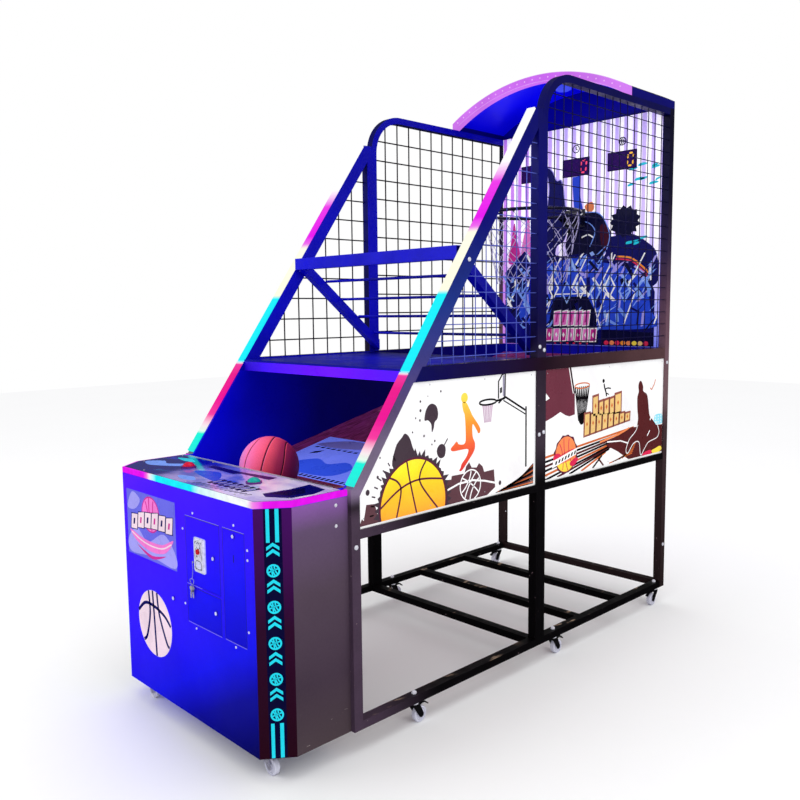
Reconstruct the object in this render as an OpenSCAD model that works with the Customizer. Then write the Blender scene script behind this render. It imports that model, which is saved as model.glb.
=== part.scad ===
// Coin-operated basketball hoop machine: cabinet, ball lane, caged tower and hoop.
// Millimetres, +Z up. The origin is on the floor at the middle of the footprint.
// X is across (+X on the player's right) and -Y is the player's side.
// Depths in this file are counted from the cabinet's front face and heights from the floor.

/* [Overall] */
// Width across the two side frames
frame_w = 1036; // [980:2:1060]
// Depth from the cabinet's front face to the back posts
depth = 2400; // [2300:10:2500]
// Height of the lowest rails above the floor, which is the casters' height
caster_h = 82; // [80:1:90]
// Height of the top rails of the tower
tower_h = 2423; // [2300:1:2500]
// Height of the roof arch above the top rails at mid width
arch_rise = 181; // [150:1:220]

/* [Frame tubes] */
// Outside size of the square tube
tube = 38; // [34:1:40]
// Height of the rails and depth of the middle posts
slim = 30; // [26:1:34]
// Wall thickness of the tube
tube_wall = 1.5; // [1:0.5:3]
// Depth of the front side frames, counted from the cabinet's front face
front_depth = 1350; // [1300:5:1400]
// Height of the rail below the printed side panels
panel_rail_z = 737; // [700:1:760]
// Height of the rail above the printed side panels
mid_rail_z = 1235; // [1200:1:1260]
// Height of that rail's section
mid_rail_h = 52; // [38:1:60]
// Outside radius of the tower's rounded front corners
corner_r = 190; // [120:5:220]
// Width of the arms above the middle rail
arm_upper_w = 57; // [38:1:60]
// Slope of the arms from level
arm_angle = 54.3; // [53:0.1:56]
// Height of the arms' upper ends
arm_top_z = 2262; // [2200:1:2290]

/* [Cabinet] */
// Width of the cabinet
cabinet_w = 1000; // [960:10:1020]
// Depth of the cabinet's sides
cabinet_depth = 320; // [300:5:340]
// Width that each front corner's chamfer takes from the front face
chamfer_w = 70; // [50:5:90]
// Depth of each front corner's chamfer
chamfer_d = 95; // [70:5:110]
// Thickness of the cabinet's boards
board = 12; // [10:1:15]
// Height of the control deck's top face
deck_z = 907; // [880:1:930]
// Thickness of the control deck
deck_t = 22; // [18:1:25]
// Depth of the control deck, behind which the ball rests
deck_depth = 300; // [280:5:300]
// Gap round each door
door_gap = 1.6; // [1.5:0.1:2]

/* [Ball lane] */
// Height of the ramp's top face at its front end
ramp_front_z = 755.5; // [745:0.5:765]
// Slope of the ramp
ramp_angle = 13.35; // [10:0.05:14]
// Thickness of the ramp board
ramp_t = 12; // [9:1:15]
// Radius of the ball
ball_r = 113; // [105:1:118]
// Sideways place of the resting ball
ball_x = -62; // [-200:1:200]
// Travel of the ball gate
gate_travel = 60; // [50:5:70]

/* [Hoop] */
// Height of the rim
rim_z = 1950; // [1850:5:2050]
// Inside diameter of the rim
rim_d = 450; // [420:1:457]
// Distance from the backboard to the rim's centre
rim_reach = 375; // [360:1:390]
// Length of the net
net_len = 330; // [300:5:400]

/* [Casters] */
// Radius of the caster wheels
wheel_r = 30; // [28:1:32]
// Width of the caster wheels
wheel_w = 20; // [18:1:24]
// Distance from the swivel axis to the wheel's axle
caster_trail = 24; // [20:1:26]

/* [Hidden] */
$fn = 48;
half_w = frame_w / 2;
inner_w = half_w - tube;             // inner face of the side frames
cabinet_x = cabinet_w / 2;
rail_z = caster_h;
arm_foot_y = cabinet_depth + 10;     // front face of the arm at deck height
arm_slope = tan(arm_angle);
mid_rail_top = mid_rail_z + mid_rail_h;
mesh_x = half_w - 10;                // middle of the wire meshes
wire = 4;
left_cells = [12, 12];               // cells along and up the rear frame's mesh
right_cells = [16, 19];
liner_t = 8;                         // boards that line the lane
liner_x = inner_w - liner_t;
panel_t = 6;
fit = 0.05;                          // radial clearance of running fits
slip = 0.3;                          // clearance of loose fits
board_back_y = depth - tube;         // back of the backboard
backboard_t = 12;
board_y = board_back_y - backboard_t;
rim_y = board_y - rim_reach;
rim_wire_r = 8;
arch_side = 39;                      // height of the roof's sides above the top rails
arch_r = (half_w * half_w + pow(arch_rise - arch_side, 2)) / (2 * (arch_rise - arch_side));
arch_z = tower_h + arch_rise - arch_r;
arch_y = depth - 431;                // front face of the roof arch
arch_d = 38;
skin = 3;
lane_cover_t = 8;
shelf_z = 412;
bolt_r = 4;
stem_r = 5;
fork_top = 75;                       // top face of a caster's fork plate
fork_plate = 9;
axle_r = 4;
caster_x = half_w - tube / 2;
light_t = 8;                         // thickness of the deck's light strip

// Gate that holds the balls back: depth of its front face, and its plate
gate_y = 574;
gate_t = 6;
gate_w = 800;
gate_h = gate_travel + 15;
gate_rod_r = 6;

// Doors of the cabinet: [left, right, bottom, top, hinge on the left]
coin_frame = [24, 234, 564.5, 796, true];
cash_frame = [24, 234, 428, 552.5, true];
service_frame = [256, 378, 430, 796, false];
pivot_inset = 14;                    // from a door's hinge edge to its pivot
pivot_y = 6;                         // depth of the pivots behind the front face
pivot_r = 2.5;
door_t = 3;
// Locks: [x, z]
coin_lock_at = [195, 681];
cash_lock_at = [203, 498];
service_lock_at = [316, 779];
power_key_at = [-77, 481];
lock_r = 6;
acceptor_at = [117, 676];
acceptor_size = [66, 118];
button_z = acceptor_at[1] + 14;

// Buttons on the deck: [x, y]
red_at = [-226, 164];
green_at = [194, 168];
button_stem_r = 12;

// Bolts through the side frames: [y, z]
bar_at = [876, 1667];                // front lower edge of the throw bar
bar_h = 49;
rod_first = 148;                     // along the braces to the first rod
rod_pitch = 126;
brace_foot = [front_depth - slim / 2, 1331];
front_bolts = [[cabinet_depth + tube / 2, 712], [front_depth - slim / 2, 974],
    [904, 1664], brace_foot];
rear_bolts = [[front_depth + slim / 2, 981], [front_depth + slim / 2, 1317],
    [depth - tube / 2, 1215], [depth - tube / 2, 300]];
cabinet_screws = [[271, 794], [271, 862]];
// Screws on the cabinet's front face: [x, z]
face_screws = [[6, 748], [6, 484], [75, 813], [75, 412], [323, 816], [316, 416],
    [396, 750], [396, 718], [392, 486]];

// Depths of the casters below each side frame, and [x, y] of those below the cabinet
side_caster_y = [620, 1470, 2335];
cabinet_caster = [385, 62];

// Openings of the score displays in the backboard
display_x = [-270, 0, 270];
display_z = 2213;
display_w = 160;
display_h = 88;

// Rim bolts, from the rim's height: [x, z]
rim_bolt_x = [-40, 40];
rim_bolt_z = [-22, 22];

function arm_y(z) = arm_foot_y + (z - deck_z) / arm_slope;
function ramp_z(y) = ramp_front_z + (y - deck_depth) * tan(ramp_angle);
gate_low = ramp_z(gate_y) - 1 - gate_h;  // lower edge of the gate's plate
// Size of a mesh cell, from the count of cells
function cell(n) = [(board_back_y - front_depth - slim) / n[0],
    (tower_h - slim - mid_rail_top) / n[1]];
// A point on the arm's front line: t along it from its foot, n out of its face
function arm_point(t, n) = [arm_foot_y + t * cos(arm_angle) - n * sin(arm_angle),
    deck_z + t * sin(arm_angle) + n * cos(arm_angle)];

// ---- helpers ----

// Moves a shape whose depth starts at the cabinet's front face into the part's frame
module from_front() { translate([0, -depth / 2, 0]) children(); }

// Extrudes a (depth, height) outline across X, from x0, by w
module across(x0, w) { translate([x0, 0, 0]) rotate([90, 0, 90]) linear_extrude(w) children(); }

module box(x0, x1, y0, y1, z0, z1) { translate([x0, y0, z0]) cube([x1 - x0, y1 - y0, z1 - z0]); }

module both_sides() { children(); mirror([1, 0, 0]) children(); }

// A member of a side frame: outline inset by i all round
module bar_2d(y0, y1, z0, z1, i) { translate([y0 + i, z0 + i]) square([y1 - y0 - 2 * i, z1 - z0 - 2 * i]); }

// A square tube across the machine between the side frames
module cross_tube(y, z, h = tube) {
    difference() {
        box(-inner_w, inner_w, y, y + tube, z, z + h);
        box(-inner_w - 1, inner_w + 1, y + tube_wall, y + tube - tube_wall,
            z + tube_wall, z + h - tube_wall);
    }
}

// A round bar along +Y from p
module along_y(x, y, z, r, len) { translate([x, y, z]) rotate([-90, 0, 0]) cylinder(r = r, h = len); }

// ---- side frames ----

// The sloped arm, wider above the middle rail
module arm_2d(i) {
    low = deck_z - 50;
    step = mid_rail_z + mid_rail_h / 2;
    high = arm_top_z + 50;
    skew = i / sin(arm_angle);
    lower = tube / sin(arm_angle) - skew;
    upper = arm_upper_w / sin(arm_angle) - skew;
    polygon([[arm_y(low) + skew, low], [arm_y(low) + lower, low], [arm_y(step) + lower, step],
        [arm_y(step) + upper, step], [arm_y(high) + upper, high], [arm_y(high) + skew, high]]);
}

module front_frame_2d(i) {
    intersection() {
        bar_2d(cabinet_depth, front_depth, rail_z, arm_top_z, i);
        union() {
            bar_2d(cabinet_depth, front_depth, rail_z, rail_z + slim, i);
            bar_2d(cabinet_depth, front_depth, panel_rail_z, panel_rail_z + slim, i);
            bar_2d(arm_y(mid_rail_top) + 7, front_depth, mid_rail_z, mid_rail_top, i);
            bar_2d(cabinet_depth, cabinet_depth + tube, rail_z, deck_z, i);
            bar_2d(front_depth - slim, front_depth, rail_z, arm_top_z, i);
            arm_2d(i);
        }
    }
}

module corner_2d(i) {
    translate([front_depth + corner_r, tower_h - corner_r])
        intersection() {
            difference() {
                circle(r = corner_r - i, $fn = 96);
                circle(r = corner_r - slim + i, $fn = 96);
            }
            translate([-corner_r, 0]) square(corner_r);
        }
}

module rear_frame_2d(i) {
    bar_2d(front_depth, depth, rail_z, rail_z + slim, i);
    bar_2d(front_depth, depth, panel_rail_z, panel_rail_z + slim, i);
    bar_2d(front_depth, depth, mid_rail_z, mid_rail_top, i);
    bar_2d(depth - tube, depth, rail_z, tower_h, i);
    translate([front_depth + i, rail_z + i])
        square([slim - 2 * i, tower_h - corner_r - rail_z - i]);
    translate([front_depth + corner_r, tower_h - slim + i])
        square([depth - front_depth - corner_r - i, slim - 2 * i]);
    corner_2d(i);
}

// Holes through a side frame for bolts and for caster stems
module frame_holes(bolts, stems) {
    for (b = bolts) translate([inner_w - 1, b[0], b[1]]) rotate([0, 90, 0])
        cylinder(r = bolt_r + slip, h = tube + 2);
    for (y = stems) translate([half_w - tube / 2, y, rail_z - 1])
        cylinder(r = stem_r + slip, h = slim + 2);
}

module front_frame() {
    color([0.09, 0.07, 0.1]) from_front() difference() {
        across(inner_w, tube) front_frame_2d(0);
        across(inner_w + tube_wall, tube - 2 * tube_wall) front_frame_2d(tube_wall);
        frame_holes(front_bolts, [side_caster_y[0]]);
    }
}

module rear_frame() {
    color([0.07, 0.06, 0.12]) from_front() difference() {
        across(inner_w, tube) rear_frame_2d(0);
        across(inner_w + tube_wall, tube - 2 * tube_wall) rear_frame_2d(tube_wall);
        frame_holes(rear_bolts, [side_caster_y[1], side_caster_y[2]]);
    }
}

module front_frame_right() { front_frame(); }
module front_frame_left() { mirror([1, 0, 0]) front_frame(); }
module rear_frame_right() { rear_frame(); }
module rear_frame_left() { mirror([1, 0, 0]) rear_frame(); }

// Floor crossbars, the support below the lane cover's back edge, and the back crossbars
module crossbars() {
    floor_pitch = (depth - front_depth) / 3;
    color([0.08, 0.07, 0.09]) from_front() {
        for (k = [0 : 3]) cross_tube(front_depth - tube + k * floor_pitch, rail_z, slim);
        cross_tube(front_depth - tube, mid_rail_z);
        cross_tube(board_back_y, mid_rail_z, mid_rail_h);
        cross_tube(board_back_y, tower_h - slim, slim);
    }
}

// Throw bar with two braces down to the middle posts and four rods between them
module brace_2d(i) {
    top = [bar_at[0] + tube / 2, bar_at[1] + bar_h / 2];
    run = brace_foot - top;
    intersection() {
        bar_2d(bar_at[0], front_depth, mid_rail_top, bar_at[1] + bar_h, i);
        translate(top) rotate(atan2(run[1], run[0]))
            translate([0, i - tube / 2]) square([norm(run) + tube, tube - 2 * i]);
    }
}

module ball_guard() {
    rod_r = 6;
    top = [bar_at[0] + tube / 2, bar_at[1] + bar_h / 2];
    run = brace_foot - top;
    slope = atan2(run[1], run[0]);
    color([0.05, 0.05, 0.3]) from_front() {
        difference() {
            union() {
                box(-inner_w, inner_w, bar_at[0], bar_at[0] + tube, bar_at[1], bar_at[1] + bar_h);
                both_sides() across(inner_w - tube, tube) brace_2d(0);
                for (k = [0 : 3]) {
                    along = rod_first + rod_pitch * k;
                    lift = tube / 2 + rod_r - 1;
                    translate([tube - inner_w - 2, top[0] + along * cos(slope) - lift * sin(slope),
                        top[1] + along * sin(slope) + lift * cos(slope)])
                        rotate([0, 90, 0]) cylinder(r = rod_r, h = 2 * (inner_w - tube + 2), $fn = 24);
                }
            }
            box(-inner_w - 1, inner_w + 1, bar_at[0] + tube_wall, bar_at[0] + tube - tube_wall,
                bar_at[1] + tube_wall, bar_at[1] + bar_h - tube_wall);
        }
    }
}

// ---- lane ----

module lane_beam() { color([0.35, 0.05, 0.9]) from_front() cross_tube(arm_y(mid_rail_z + tube), mid_rail_z); }

module lane_cover() {
    color([0.03, 0.03, 0.4]) from_front()
        box(-inner_w, inner_w, arm_y(mid_rail_z + tube), front_depth,
            mid_rail_z + tube, mid_rail_z + tube + lane_cover_t);
}

// Boards that line the lane's sides and close the ramp's edges
module lane_walls() {
    front = deck_depth + 1;
    back = board_y - 1;
    below = ramp_t + 2;
    color([0.02, 0.02, 0.3]) from_front() both_sides() across(liner_x, liner_t)
        polygon([[front, ramp_z(front) - below], [front, deck_z], [arm_foot_y, deck_z],
            [arm_y(mid_rail_z), mid_rail_z], [front_depth, mid_rail_z],
            [front_depth, mid_rail_top], [back, mid_rail_top], [back, ramp_z(back) - below]]);
}

module ball_ramp() {
    front = deck_depth + 1;
    back = board_y - 1;
    color([0.45, 0.12, 0.15]) from_front() difference() {
        across(-liner_x, 2 * liner_x)
            polygon([[front, ramp_z(front) - ramp_t], [back, ramp_z(back) - ramp_t],
                [back, ramp_z(back)], [front, ramp_z(front)]]);
        box(-gate_w / 2 - 1, gate_w / 2 + 1, gate_y - 1, gate_y + gate_t + 1,
            ramp_z(gate_y) - 40, ramp_z(gate_y) + 40);
    }
}

// A bar that rises through the ramp to hold the balls back, on the actuator's rod
module ball_gate() {
    middle = gate_y + gate_t / 2;
    color([0.7, 0.72, 0.75]) from_front() {
        box(-gate_w / 2, gate_w / 2, gate_y, gate_y + gate_t, gate_low, gate_low + gate_h);
        box(-20, 20, middle - 9, middle + 9, gate_low - 6, gate_low);
        translate([0, middle, gate_low - 6 - gate_travel - 22])
            cylinder(r = gate_rod_r, h = gate_travel + 23);
    }
}

// The gate's linear actuator, hung on two straps below the ramp
module gate_actuator() {
    middle = gate_y + gate_t / 2;
    body_len = gate_travel + 36;
    top = gate_low - 8;
    color([0.2, 0.2, 0.22]) from_front() difference() {
        union() {
            translate([0, middle, top - body_len]) cylinder(r = 19, h = body_len);
            across(-22, 44) for (y = [middle - 16, middle + 12])
                polygon([[y, top - 14], [y + 4, top - 14], [y + 4, ramp_z(y + 4) - ramp_t - slip],
                    [y, ramp_z(y) - ramp_t - slip]]);
        }
        translate([0, middle, top - body_len + 6]) cylinder(r = gate_rod_r + fit, h = body_len);
    }
}

module ball() {
    lift = ball_r / cos(ramp_angle) + slip;
    y = deck_depth + ball_r + slip;
    color([0.9, 0.15, 0.3]) from_front() translate([ball_x, y, ramp_z(y) + lift])
        sphere(r = ball_r, $fn = 96);
}

// ---- panels and meshes ----

module front_panels() {
    low = panel_rail_z + slim + slip;
    high = mid_rail_z - slip;
    wide = tube / sin(arm_angle) + slip;
    start = cabinet_depth + tube + slip;
    color([0.95, 0.93, 0.96]) from_front() both_sides() across(half_w - 13, panel_t)
        polygon([[start, low], [front_depth - slim - slip, low],
            [front_depth - slim - slip, high], [arm_y(high) + wide, high],
            [start, deck_z + (start - arm_foot_y - wide) * arm_slope]]);
}

module rear_panels() {
    color([0.9, 0.85, 0.85]) from_front() both_sides() across(half_w - 13, panel_t)
        bar_2d(front_depth + slim, board_back_y, panel_rail_z + slim, mid_rail_z, slip);
}

// Crossed wires over a rectangle, counted down and forward from its top back corner
module wires_2d(y0, y1, z0, z1, size) {
    for (y = [y1 - size[0] : -size[0] : y0]) translate([y - wire / 2, z0]) square([wire, z1 - z0]);
    for (z = [z1 - size[1] : -size[1] : z0 + 1])
        translate([y0, z - wire / 2]) square([y1 - y0, wire]);
}

module rear_mesh_2d(size) {
    y0 = front_depth + slim + slip;
    y1 = board_back_y - slip;
    z0 = mid_rail_top + slip;
    z1 = tower_h - slim - slip;
    r = corner_r - slim;
    intersection() {
        wires_2d(y0, y1, z0, z1, size);
        union() {
            translate([y0 + r, z0]) square([y1 - y0 - r, z1 - z0]);
            translate([y0, z0]) square([y1 - y0, z1 - z0 - r]);
            translate([y0 + r, z1 - r]) circle(r = r, $fn = 96);
        }
    }
}

module front_mesh_2d(size) {
    y1 = front_depth - slim - slip;
    z0 = mid_rail_top + slip;
    wide = arm_upper_w / sin(arm_angle) + slip;
    y0 = arm_y(z0) + wide;
    z1 = deck_z + (y1 - wide - arm_foot_y) * arm_slope;
    intersection() {
        union() {
            wires_2d(y0, y1, z0, z1, size);
            polygon([[y0, z0], [y0 + 2 * wire, z0], [y1, z1 - 2 * wire * arm_slope], [y1, z1]]);
        }
        polygon([[y0, z0], [y1, z0], [y1, z1]]);
    }
}

module front_meshes() {
    color([0.05, 0.05, 0.15]) from_front() {
        across(-mesh_x - wire / 2, wire) front_mesh_2d(cell(left_cells));
        across(mesh_x - wire / 2, wire) front_mesh_2d(cell(right_cells));
    }
}

module rear_meshes() {
    color([0.05, 0.05, 0.15]) from_front() {
        across(-mesh_x - wire / 2, wire) rear_mesh_2d(cell(left_cells));
        across(mesh_x - wire / 2, wire) rear_mesh_2d(cell(right_cells));
    }
}

// ---- backboard and hoop ----

module backboard() {
    color([0.85, 0.82, 0.98]) from_front() difference() {
        box(-inner_w, inner_w, board_y, board_back_y, mid_rail_top + 2, tower_h);
        for (x = display_x)
            box(x - display_w / 2, x + display_w / 2, board_y - 1, board_back_y + 1,
                display_z - display_h / 2, display_z + display_h / 2);
        for (x = rim_bolt_x, z = rim_bolt_z)
            along_y(x, board_y - 1, rim_z + z, bolt_r + slip, backboard_t + 2);
    }
}

module score_displays() {
    color([0.15, 0.02, 0.08]) from_front() for (x = display_x)
        box(x - display_w / 2 + slip, x + display_w / 2 - slip, board_y - 1, board_y + 24,
            display_z - display_h / 2 + slip, display_z + display_h / 2 - slip);
}

module rim() {
    ring_r = rim_d / 2 + rim_wire_r;
    color([0.85, 0.25, 0.1]) from_front() difference() {
        union() {
            translate([0, rim_y, rim_z])
                rotate_extrude($fn = 96) translate([ring_r, 0]) circle(r = rim_wire_r, $fn = 24);
            box(-60, 60, board_y - 5, board_y, rim_z - 45, rim_z + 45);
            difference() {
                box(-50, 50, rim_y + ring_r - 20, board_y - 2, rim_z - 3, rim_z + 3);
                translate([0, rim_y, rim_z - 10]) cylinder(r = ring_r, h = 20, $fn = 96);
            }
            for (x = [-50, 47]) across(x, 3)
                polygon([[board_y - 2, rim_z + 2], [board_y - 2, rim_z - 42], [board_y - 100, rim_z + 2]]);
            for (a = [0 : 30 : 359]) translate([0, rim_y, rim_z]) rotate(a + 15)
                translate([ring_r, 0, -rim_wire_r - 5]) cylinder(r = 2.5, h = 8, $fn = 16);
        }
        for (x = rim_bolt_x, z = rim_bolt_z) along_y(x, board_y - 6, rim_z + z, bolt_r + slip, 8);
    }
}

// Plain shell over the net's outer shape, open at both ends
module net() {
    top_r = rim_d / 2 + rim_wire_r + 2;
    waist_r = 168;
    top = rim_z - rim_wire_r - 6;
    wall = 5;
    color([0.9, 0.9, 0.95]) from_front() translate([0, rim_y, top]) rotate_extrude($fn = 48)
        polygon([[top_r - wall, 0], [top_r, 0], [waist_r + 35, -net_len * 0.45],
            [waist_r, -net_len], [waist_r - wall, -net_len], [waist_r + 35 - wall, -net_len * 0.45]]);
}

// Infrared sensor that looks across below the rim
module hoop_sensor() {
    z = rim_z - 60;
    color([0.1, 0.1, 0.1]) from_front() difference() {
        union() {
            box(-22, 22, board_y - 40, board_y, z - 14, z + 14);
            along_y(0, board_y - 52, z, 8, 14);
        }
        along_y(0, board_y - 53, z, 5, 6);
    }
}

// ---- roof ----

module arch_2d(r_out, r_in) {
    intersection() {
        translate([0, arch_z]) difference() {
            circle(r = r_out, $fn = 200);
            circle(r = r_in, $fn = 200);
        }
        translate([-half_w, tower_h]) square([frame_w, arch_rise + 10]);
    }
}

// Extrudes an (x, height) outline towards the back from depth y
module backwards(y, d) { translate([0, y + d, 0]) rotate([90, 0, 0]) linear_extrude(d) children(); }

module roof() {
    front = arch_y + arch_d;
    color([0.02, 0.02, 0.35]) from_front() {
        backwards(front, depth - front) {
            arch_2d(arch_r - 2, arch_r - 2 - skin);
            for (x = [-half_w, half_w - skin]) translate([x, tower_h]) square([skin, arch_side - 5]);
        }
        backwards(depth - skin, skin) intersection() {
            translate([0, arch_z]) circle(r = arch_r - 3, $fn = 200);
            translate([-half_w, tower_h]) square([frame_w, arch_rise]);
        }
    }
}

module arch_light() {
    color([0.8, 0.4, 0.92]) from_front() backwards(arch_y, arch_d) arch_2d(arch_r, arch_r - 36);
}

module ceiling_lamp() {
    lamp_r = 40;
    top = arch_z + sqrt(pow(arch_r - 2 - skin, 2) - lamp_r * lamp_r) - 0.1;
    color([0.6, 0.65, 1]) from_front() translate([0, arch_y + 260, top - 14]) {
        cylinder(r = lamp_r, h = 14);
        translate([0, 0, -6]) cylinder(r1 = lamp_r - 12, r2 = lamp_r - 4, h = 6);
    }
}

// ---- lights ----

module light_2d(t0, t1) {
    gap = 0.1;
    thick = 9;
    polygon([arm_point(t0, gap), arm_point(t1, gap), arm_point(t1, thick), arm_point(t0, thick)]);
}

// Light tubes on the arms' front faces, each in two lengths that meet at the middle rail
module arm_lights() {
    joint = (mid_rail_z + 34 - deck_z) / sin(arm_angle);
    end = (arm_top_z - deck_z) / sin(arm_angle) - 8;
    color([0.1, 0.9, 0.95]) from_front() both_sides() across(inner_w + 1, tube - 2) {
        light_2d(8, joint - 2);
        light_2d(joint + 2, end);
    }
}

// The cabinet's plan, inset by d at its front and sides
module plan_2d(d, back) {
    turn = atan2(chamfer_d, chamfer_w);
    shift = d * tan(turn / 2);
    rise = d * tan((90 - turn) / 2);
    x1 = cabinet_x - chamfer_w - shift;
    x2 = cabinet_x - d;
    polygon([[-x1, d], [x1, d], [x2, chamfer_d + rise], [x2, back], [-x2, back],
        [-x2, chamfer_d + rise]]);
}

module deck_light() {
    color([0.2, 0.9, 0.95]) from_front() translate([0, 0, deck_z - deck_t + 1])
        linear_extrude(deck_t - 2) difference() {
            plan_2d(0, cabinet_depth);
            plan_2d(light_t, cabinet_depth + 1);
        }
}

// ---- cabinet ----

function pivot_x(f) = f[4] ? f[0] + pivot_inset : f[1] - pivot_inset;

module door_opening(f) {
    box(f[0] - door_gap, f[1] + door_gap, -1, board + 1, f[2] - door_gap, f[3] + door_gap);
    translate([pivot_x(f), pivot_y, f[2] - door_gap - 4])
        cylinder(r = pivot_r + fit, h = f[3] - f[2] + 2 * door_gap + 8);
}

module cabinet() {
    color([0.12, 0.02, 0.95]) from_front() difference() {
        union() {
            difference() {
                translate([0, 0, rail_z]) linear_extrude(deck_z - deck_t - rail_z)
                    plan_2d(0, cabinet_depth);
                translate([0, 0, rail_z + board]) linear_extrude(deck_z)
                    plan_2d(board, deck_depth - board);
                box(board - cabinet_x, cabinet_x - board, deck_depth, cabinet_depth + 1, 0, deck_z);
            }
            box(0, 240, 1, deck_depth - 1, shelf_z, shelf_z + board);
            along_y(power_key_at[0], -2, power_key_at[1], 10, 18);
        }
        door_opening(coin_frame);
        door_opening(cash_frame);
        door_opening(service_frame);
        along_y(power_key_at[0], -3, power_key_at[1], lock_r + fit, 20);
        for (s = [-1, 1]) translate([s * cabinet_caster[0], cabinet_caster[1], rail_z - 1])
            cylinder(r = stem_r + slip, h = board + 2);
    }
}

module deck() {
    color([0.1, 0.15, 0.6]) from_front() difference() {
        translate([0, 0, deck_z - deck_t]) linear_extrude(deck_t) plan_2d(light_t, deck_depth);
        for (p = [red_at, green_at]) translate([p[0], p[1], deck_z - deck_t - 1])
            cylinder(r = 15 + slip, h = deck_t + 2);
    }
}

// A flush door with its pivot pins and the barrel behind its hinge edge
module door(f, lock_at) {
    pin_len = 3.5;                   // of each pivot pin in the cabinet
    rib_in = 24;                     // from the door's edges to the stiffening ribs
    from_front() difference() {
        union() {
            box(f[0], f[1], 0, door_t, f[2], f[3]);
            translate([pivot_x(f), pivot_y, f[2] - door_gap - pin_len])
                cylinder(r = pivot_r, h = f[3] - f[2] + 2 * (door_gap + pin_len));
            translate([pivot_x(f), pivot_y, f[2]]) cylinder(r = 3.6, h = f[3] - f[2]);
            for (z = [f[2] + 6, f[3] - 8])
                box(f[0] + rib_in, f[1] - rib_in, door_t - 1, board, z, z + 2);
            along_y(lock_at[0], -2, lock_at[1], 10, 17);
        }
        along_y(lock_at[0], -3, lock_at[1], lock_r + fit, 20);
    }
}

module coin_door() {
    w = acceptor_size[0] / 2 - 4;
    h = acceptor_size[1] / 2 - 6;
    color([0.15, 0.02, 0.95]) difference() {
        door(coin_frame, coin_lock_at);
        from_front() box(acceptor_at[0] - w, acceptor_at[0] + w, -1, door_t + 1,
            acceptor_at[1] - h, acceptor_at[1] + h);
    }
}

module cash_door() { color([0.15, 0.02, 0.95]) door(cash_frame, cash_lock_at); }

module service_door() {
    slot_at = [service_lock_at[0], 706];
    color([0.15, 0.02, 0.95]) difference() {
        door(service_frame, service_lock_at);
        from_front() box(slot_at[0] - 2, slot_at[0] + 2, -1, door_t + 1, slot_at[1] - 12, slot_at[1] + 12);
    }
}

// The turning plug of a lock, with a latch of the given length at its back, pointing along turn
module lock(at, latch, turn) {
    color([0.8, 0.8, 0.82]) from_front() difference() {
        union() {
            along_y(at[0], -3, at[1], lock_r, 21);
            if (latch > 0) translate([at[0], 0, at[1]]) rotate([0, turn, 0])
                box(-lock_r, latch, 16, 18, -5, 5);
        }
        box(at[0] - 0.8, at[0] + 0.8, -4, 5, at[1] - 4, at[1] + 4);
    }
}

module coin_lock() { lock(coin_lock_at, 46, 90); }
module cash_lock() { lock(cash_lock_at, 40, 90); }
module service_lock() { lock(service_lock_at, 27, 180); }
module power_key() { lock(power_key_at, 0, 0); }

module coin_acceptor() {
    w = acceptor_size[0] / 2;
    h = acceptor_size[1] / 2;
    corner = 6;
    color([0.85, 0.86, 0.88]) from_front() translate([acceptor_at[0], 0, acceptor_at[1]]) difference() {
        union() {
            backwards(-5, 5) hull() for (x = [-1, 1], z = [-1, 1])
                translate([x * (w - corner), z * (h - corner)]) circle(r = corner, $fn = 32);
            backwards(-9, 5) hull() for (x = [-1, 1], z = [-1, 1])
                translate([x * (w - corner - 5), z * (h - corner - 6)]) circle(r = corner, $fn = 32);
            box(5 - w, w - 5, -1, 56, 7 - h, h - 7);
        }
        box(-2, 2, -10, 12, h - 34, h - 14);
        box(-w + 14, w - 14, -10, 20, 14 - h, 40 - h);
        along_y(0, -10, button_z - acceptor_at[1], 9 + fit, 30);
    }
}

module coin_return_button() {
    color([0.75, 0.1, 0.1]) from_front() along_y(acceptor_at[0], -14, button_z, 9, 26);
}

module cash_box() {
    wall = 1.5;
    z = shelf_z + board;
    color([0.6, 0.62, 0.65]) from_front() translate([52, 26, z]) difference() {
        cube([154, 224, 110]);
        translate([wall, wall, wall]) cube([154 - 2 * wall, 224 - 2 * wall, 110]);
    }
}

// Base plate with the power supply, the game board on its pillars, and the amplifier
module electronics_tray() {
    plate = 2;
    pillar_h = 12;
    color([0.3, 0.35, 0.3]) from_front() translate([-330, 110, rail_z + board]) {
        cube([290, 165, plate]);
        translate([10, 15, plate]) cube([105, 140, 50]);
        translate([132, 12, plate]) {
            for (x = [8, 128], y = [8, 128]) translate([x, y, 0]) cylinder(r = 4, h = pillar_h, $fn = 24);
            translate([0, 0, pillar_h]) cube([136, 136, plate]);
            translate([18, 28, pillar_h + plate]) cube([50, 50, 18]);
        }
    }
}

// ---- buttons ----

module button_housings() {
    color([0.4, 0.1, 0.5]) from_front() for (p = [red_at, green_at])
        translate([p[0], p[1], deck_z]) difference() {
            union() {
                cylinder(r = 28, h = 6);
                translate([0, 0, -40]) cylinder(r = 15, h = 41);
                translate([0, 0, -deck_t - 6]) cylinder(r = 21, h = 6, $fn = 6);
            }
            translate([0, 0, 1]) cylinder(r = 23, h = 6);
            translate([0, 0, -36]) cylinder(r = button_stem_r + fit, h = 50);
        }
}

module dome_button(p) {
    skirt = 22.5;
    rise = 13;
    cap_r = (skirt * skirt + rise * rise) / (2 * rise);
    from_front() translate([p[0], p[1], deck_z + 5.5]) {
        cylinder(r = skirt, h = 2);
        translate([0, 0, 2]) intersection() {
            translate([0, 0, rise - cap_r]) sphere(r = cap_r);
            cylinder(r = skirt, h = rise + 1);
        }
        translate([0, 0, -36]) cylinder(r = button_stem_r, h = 37);
    }
}

module red_button() { color([0.85, 0.05, 0.15]) dome_button(red_at); }
module green_button() { color([0.05, 0.65, 0.6]) dome_button(green_at); }

// ---- fasteners ----

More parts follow.
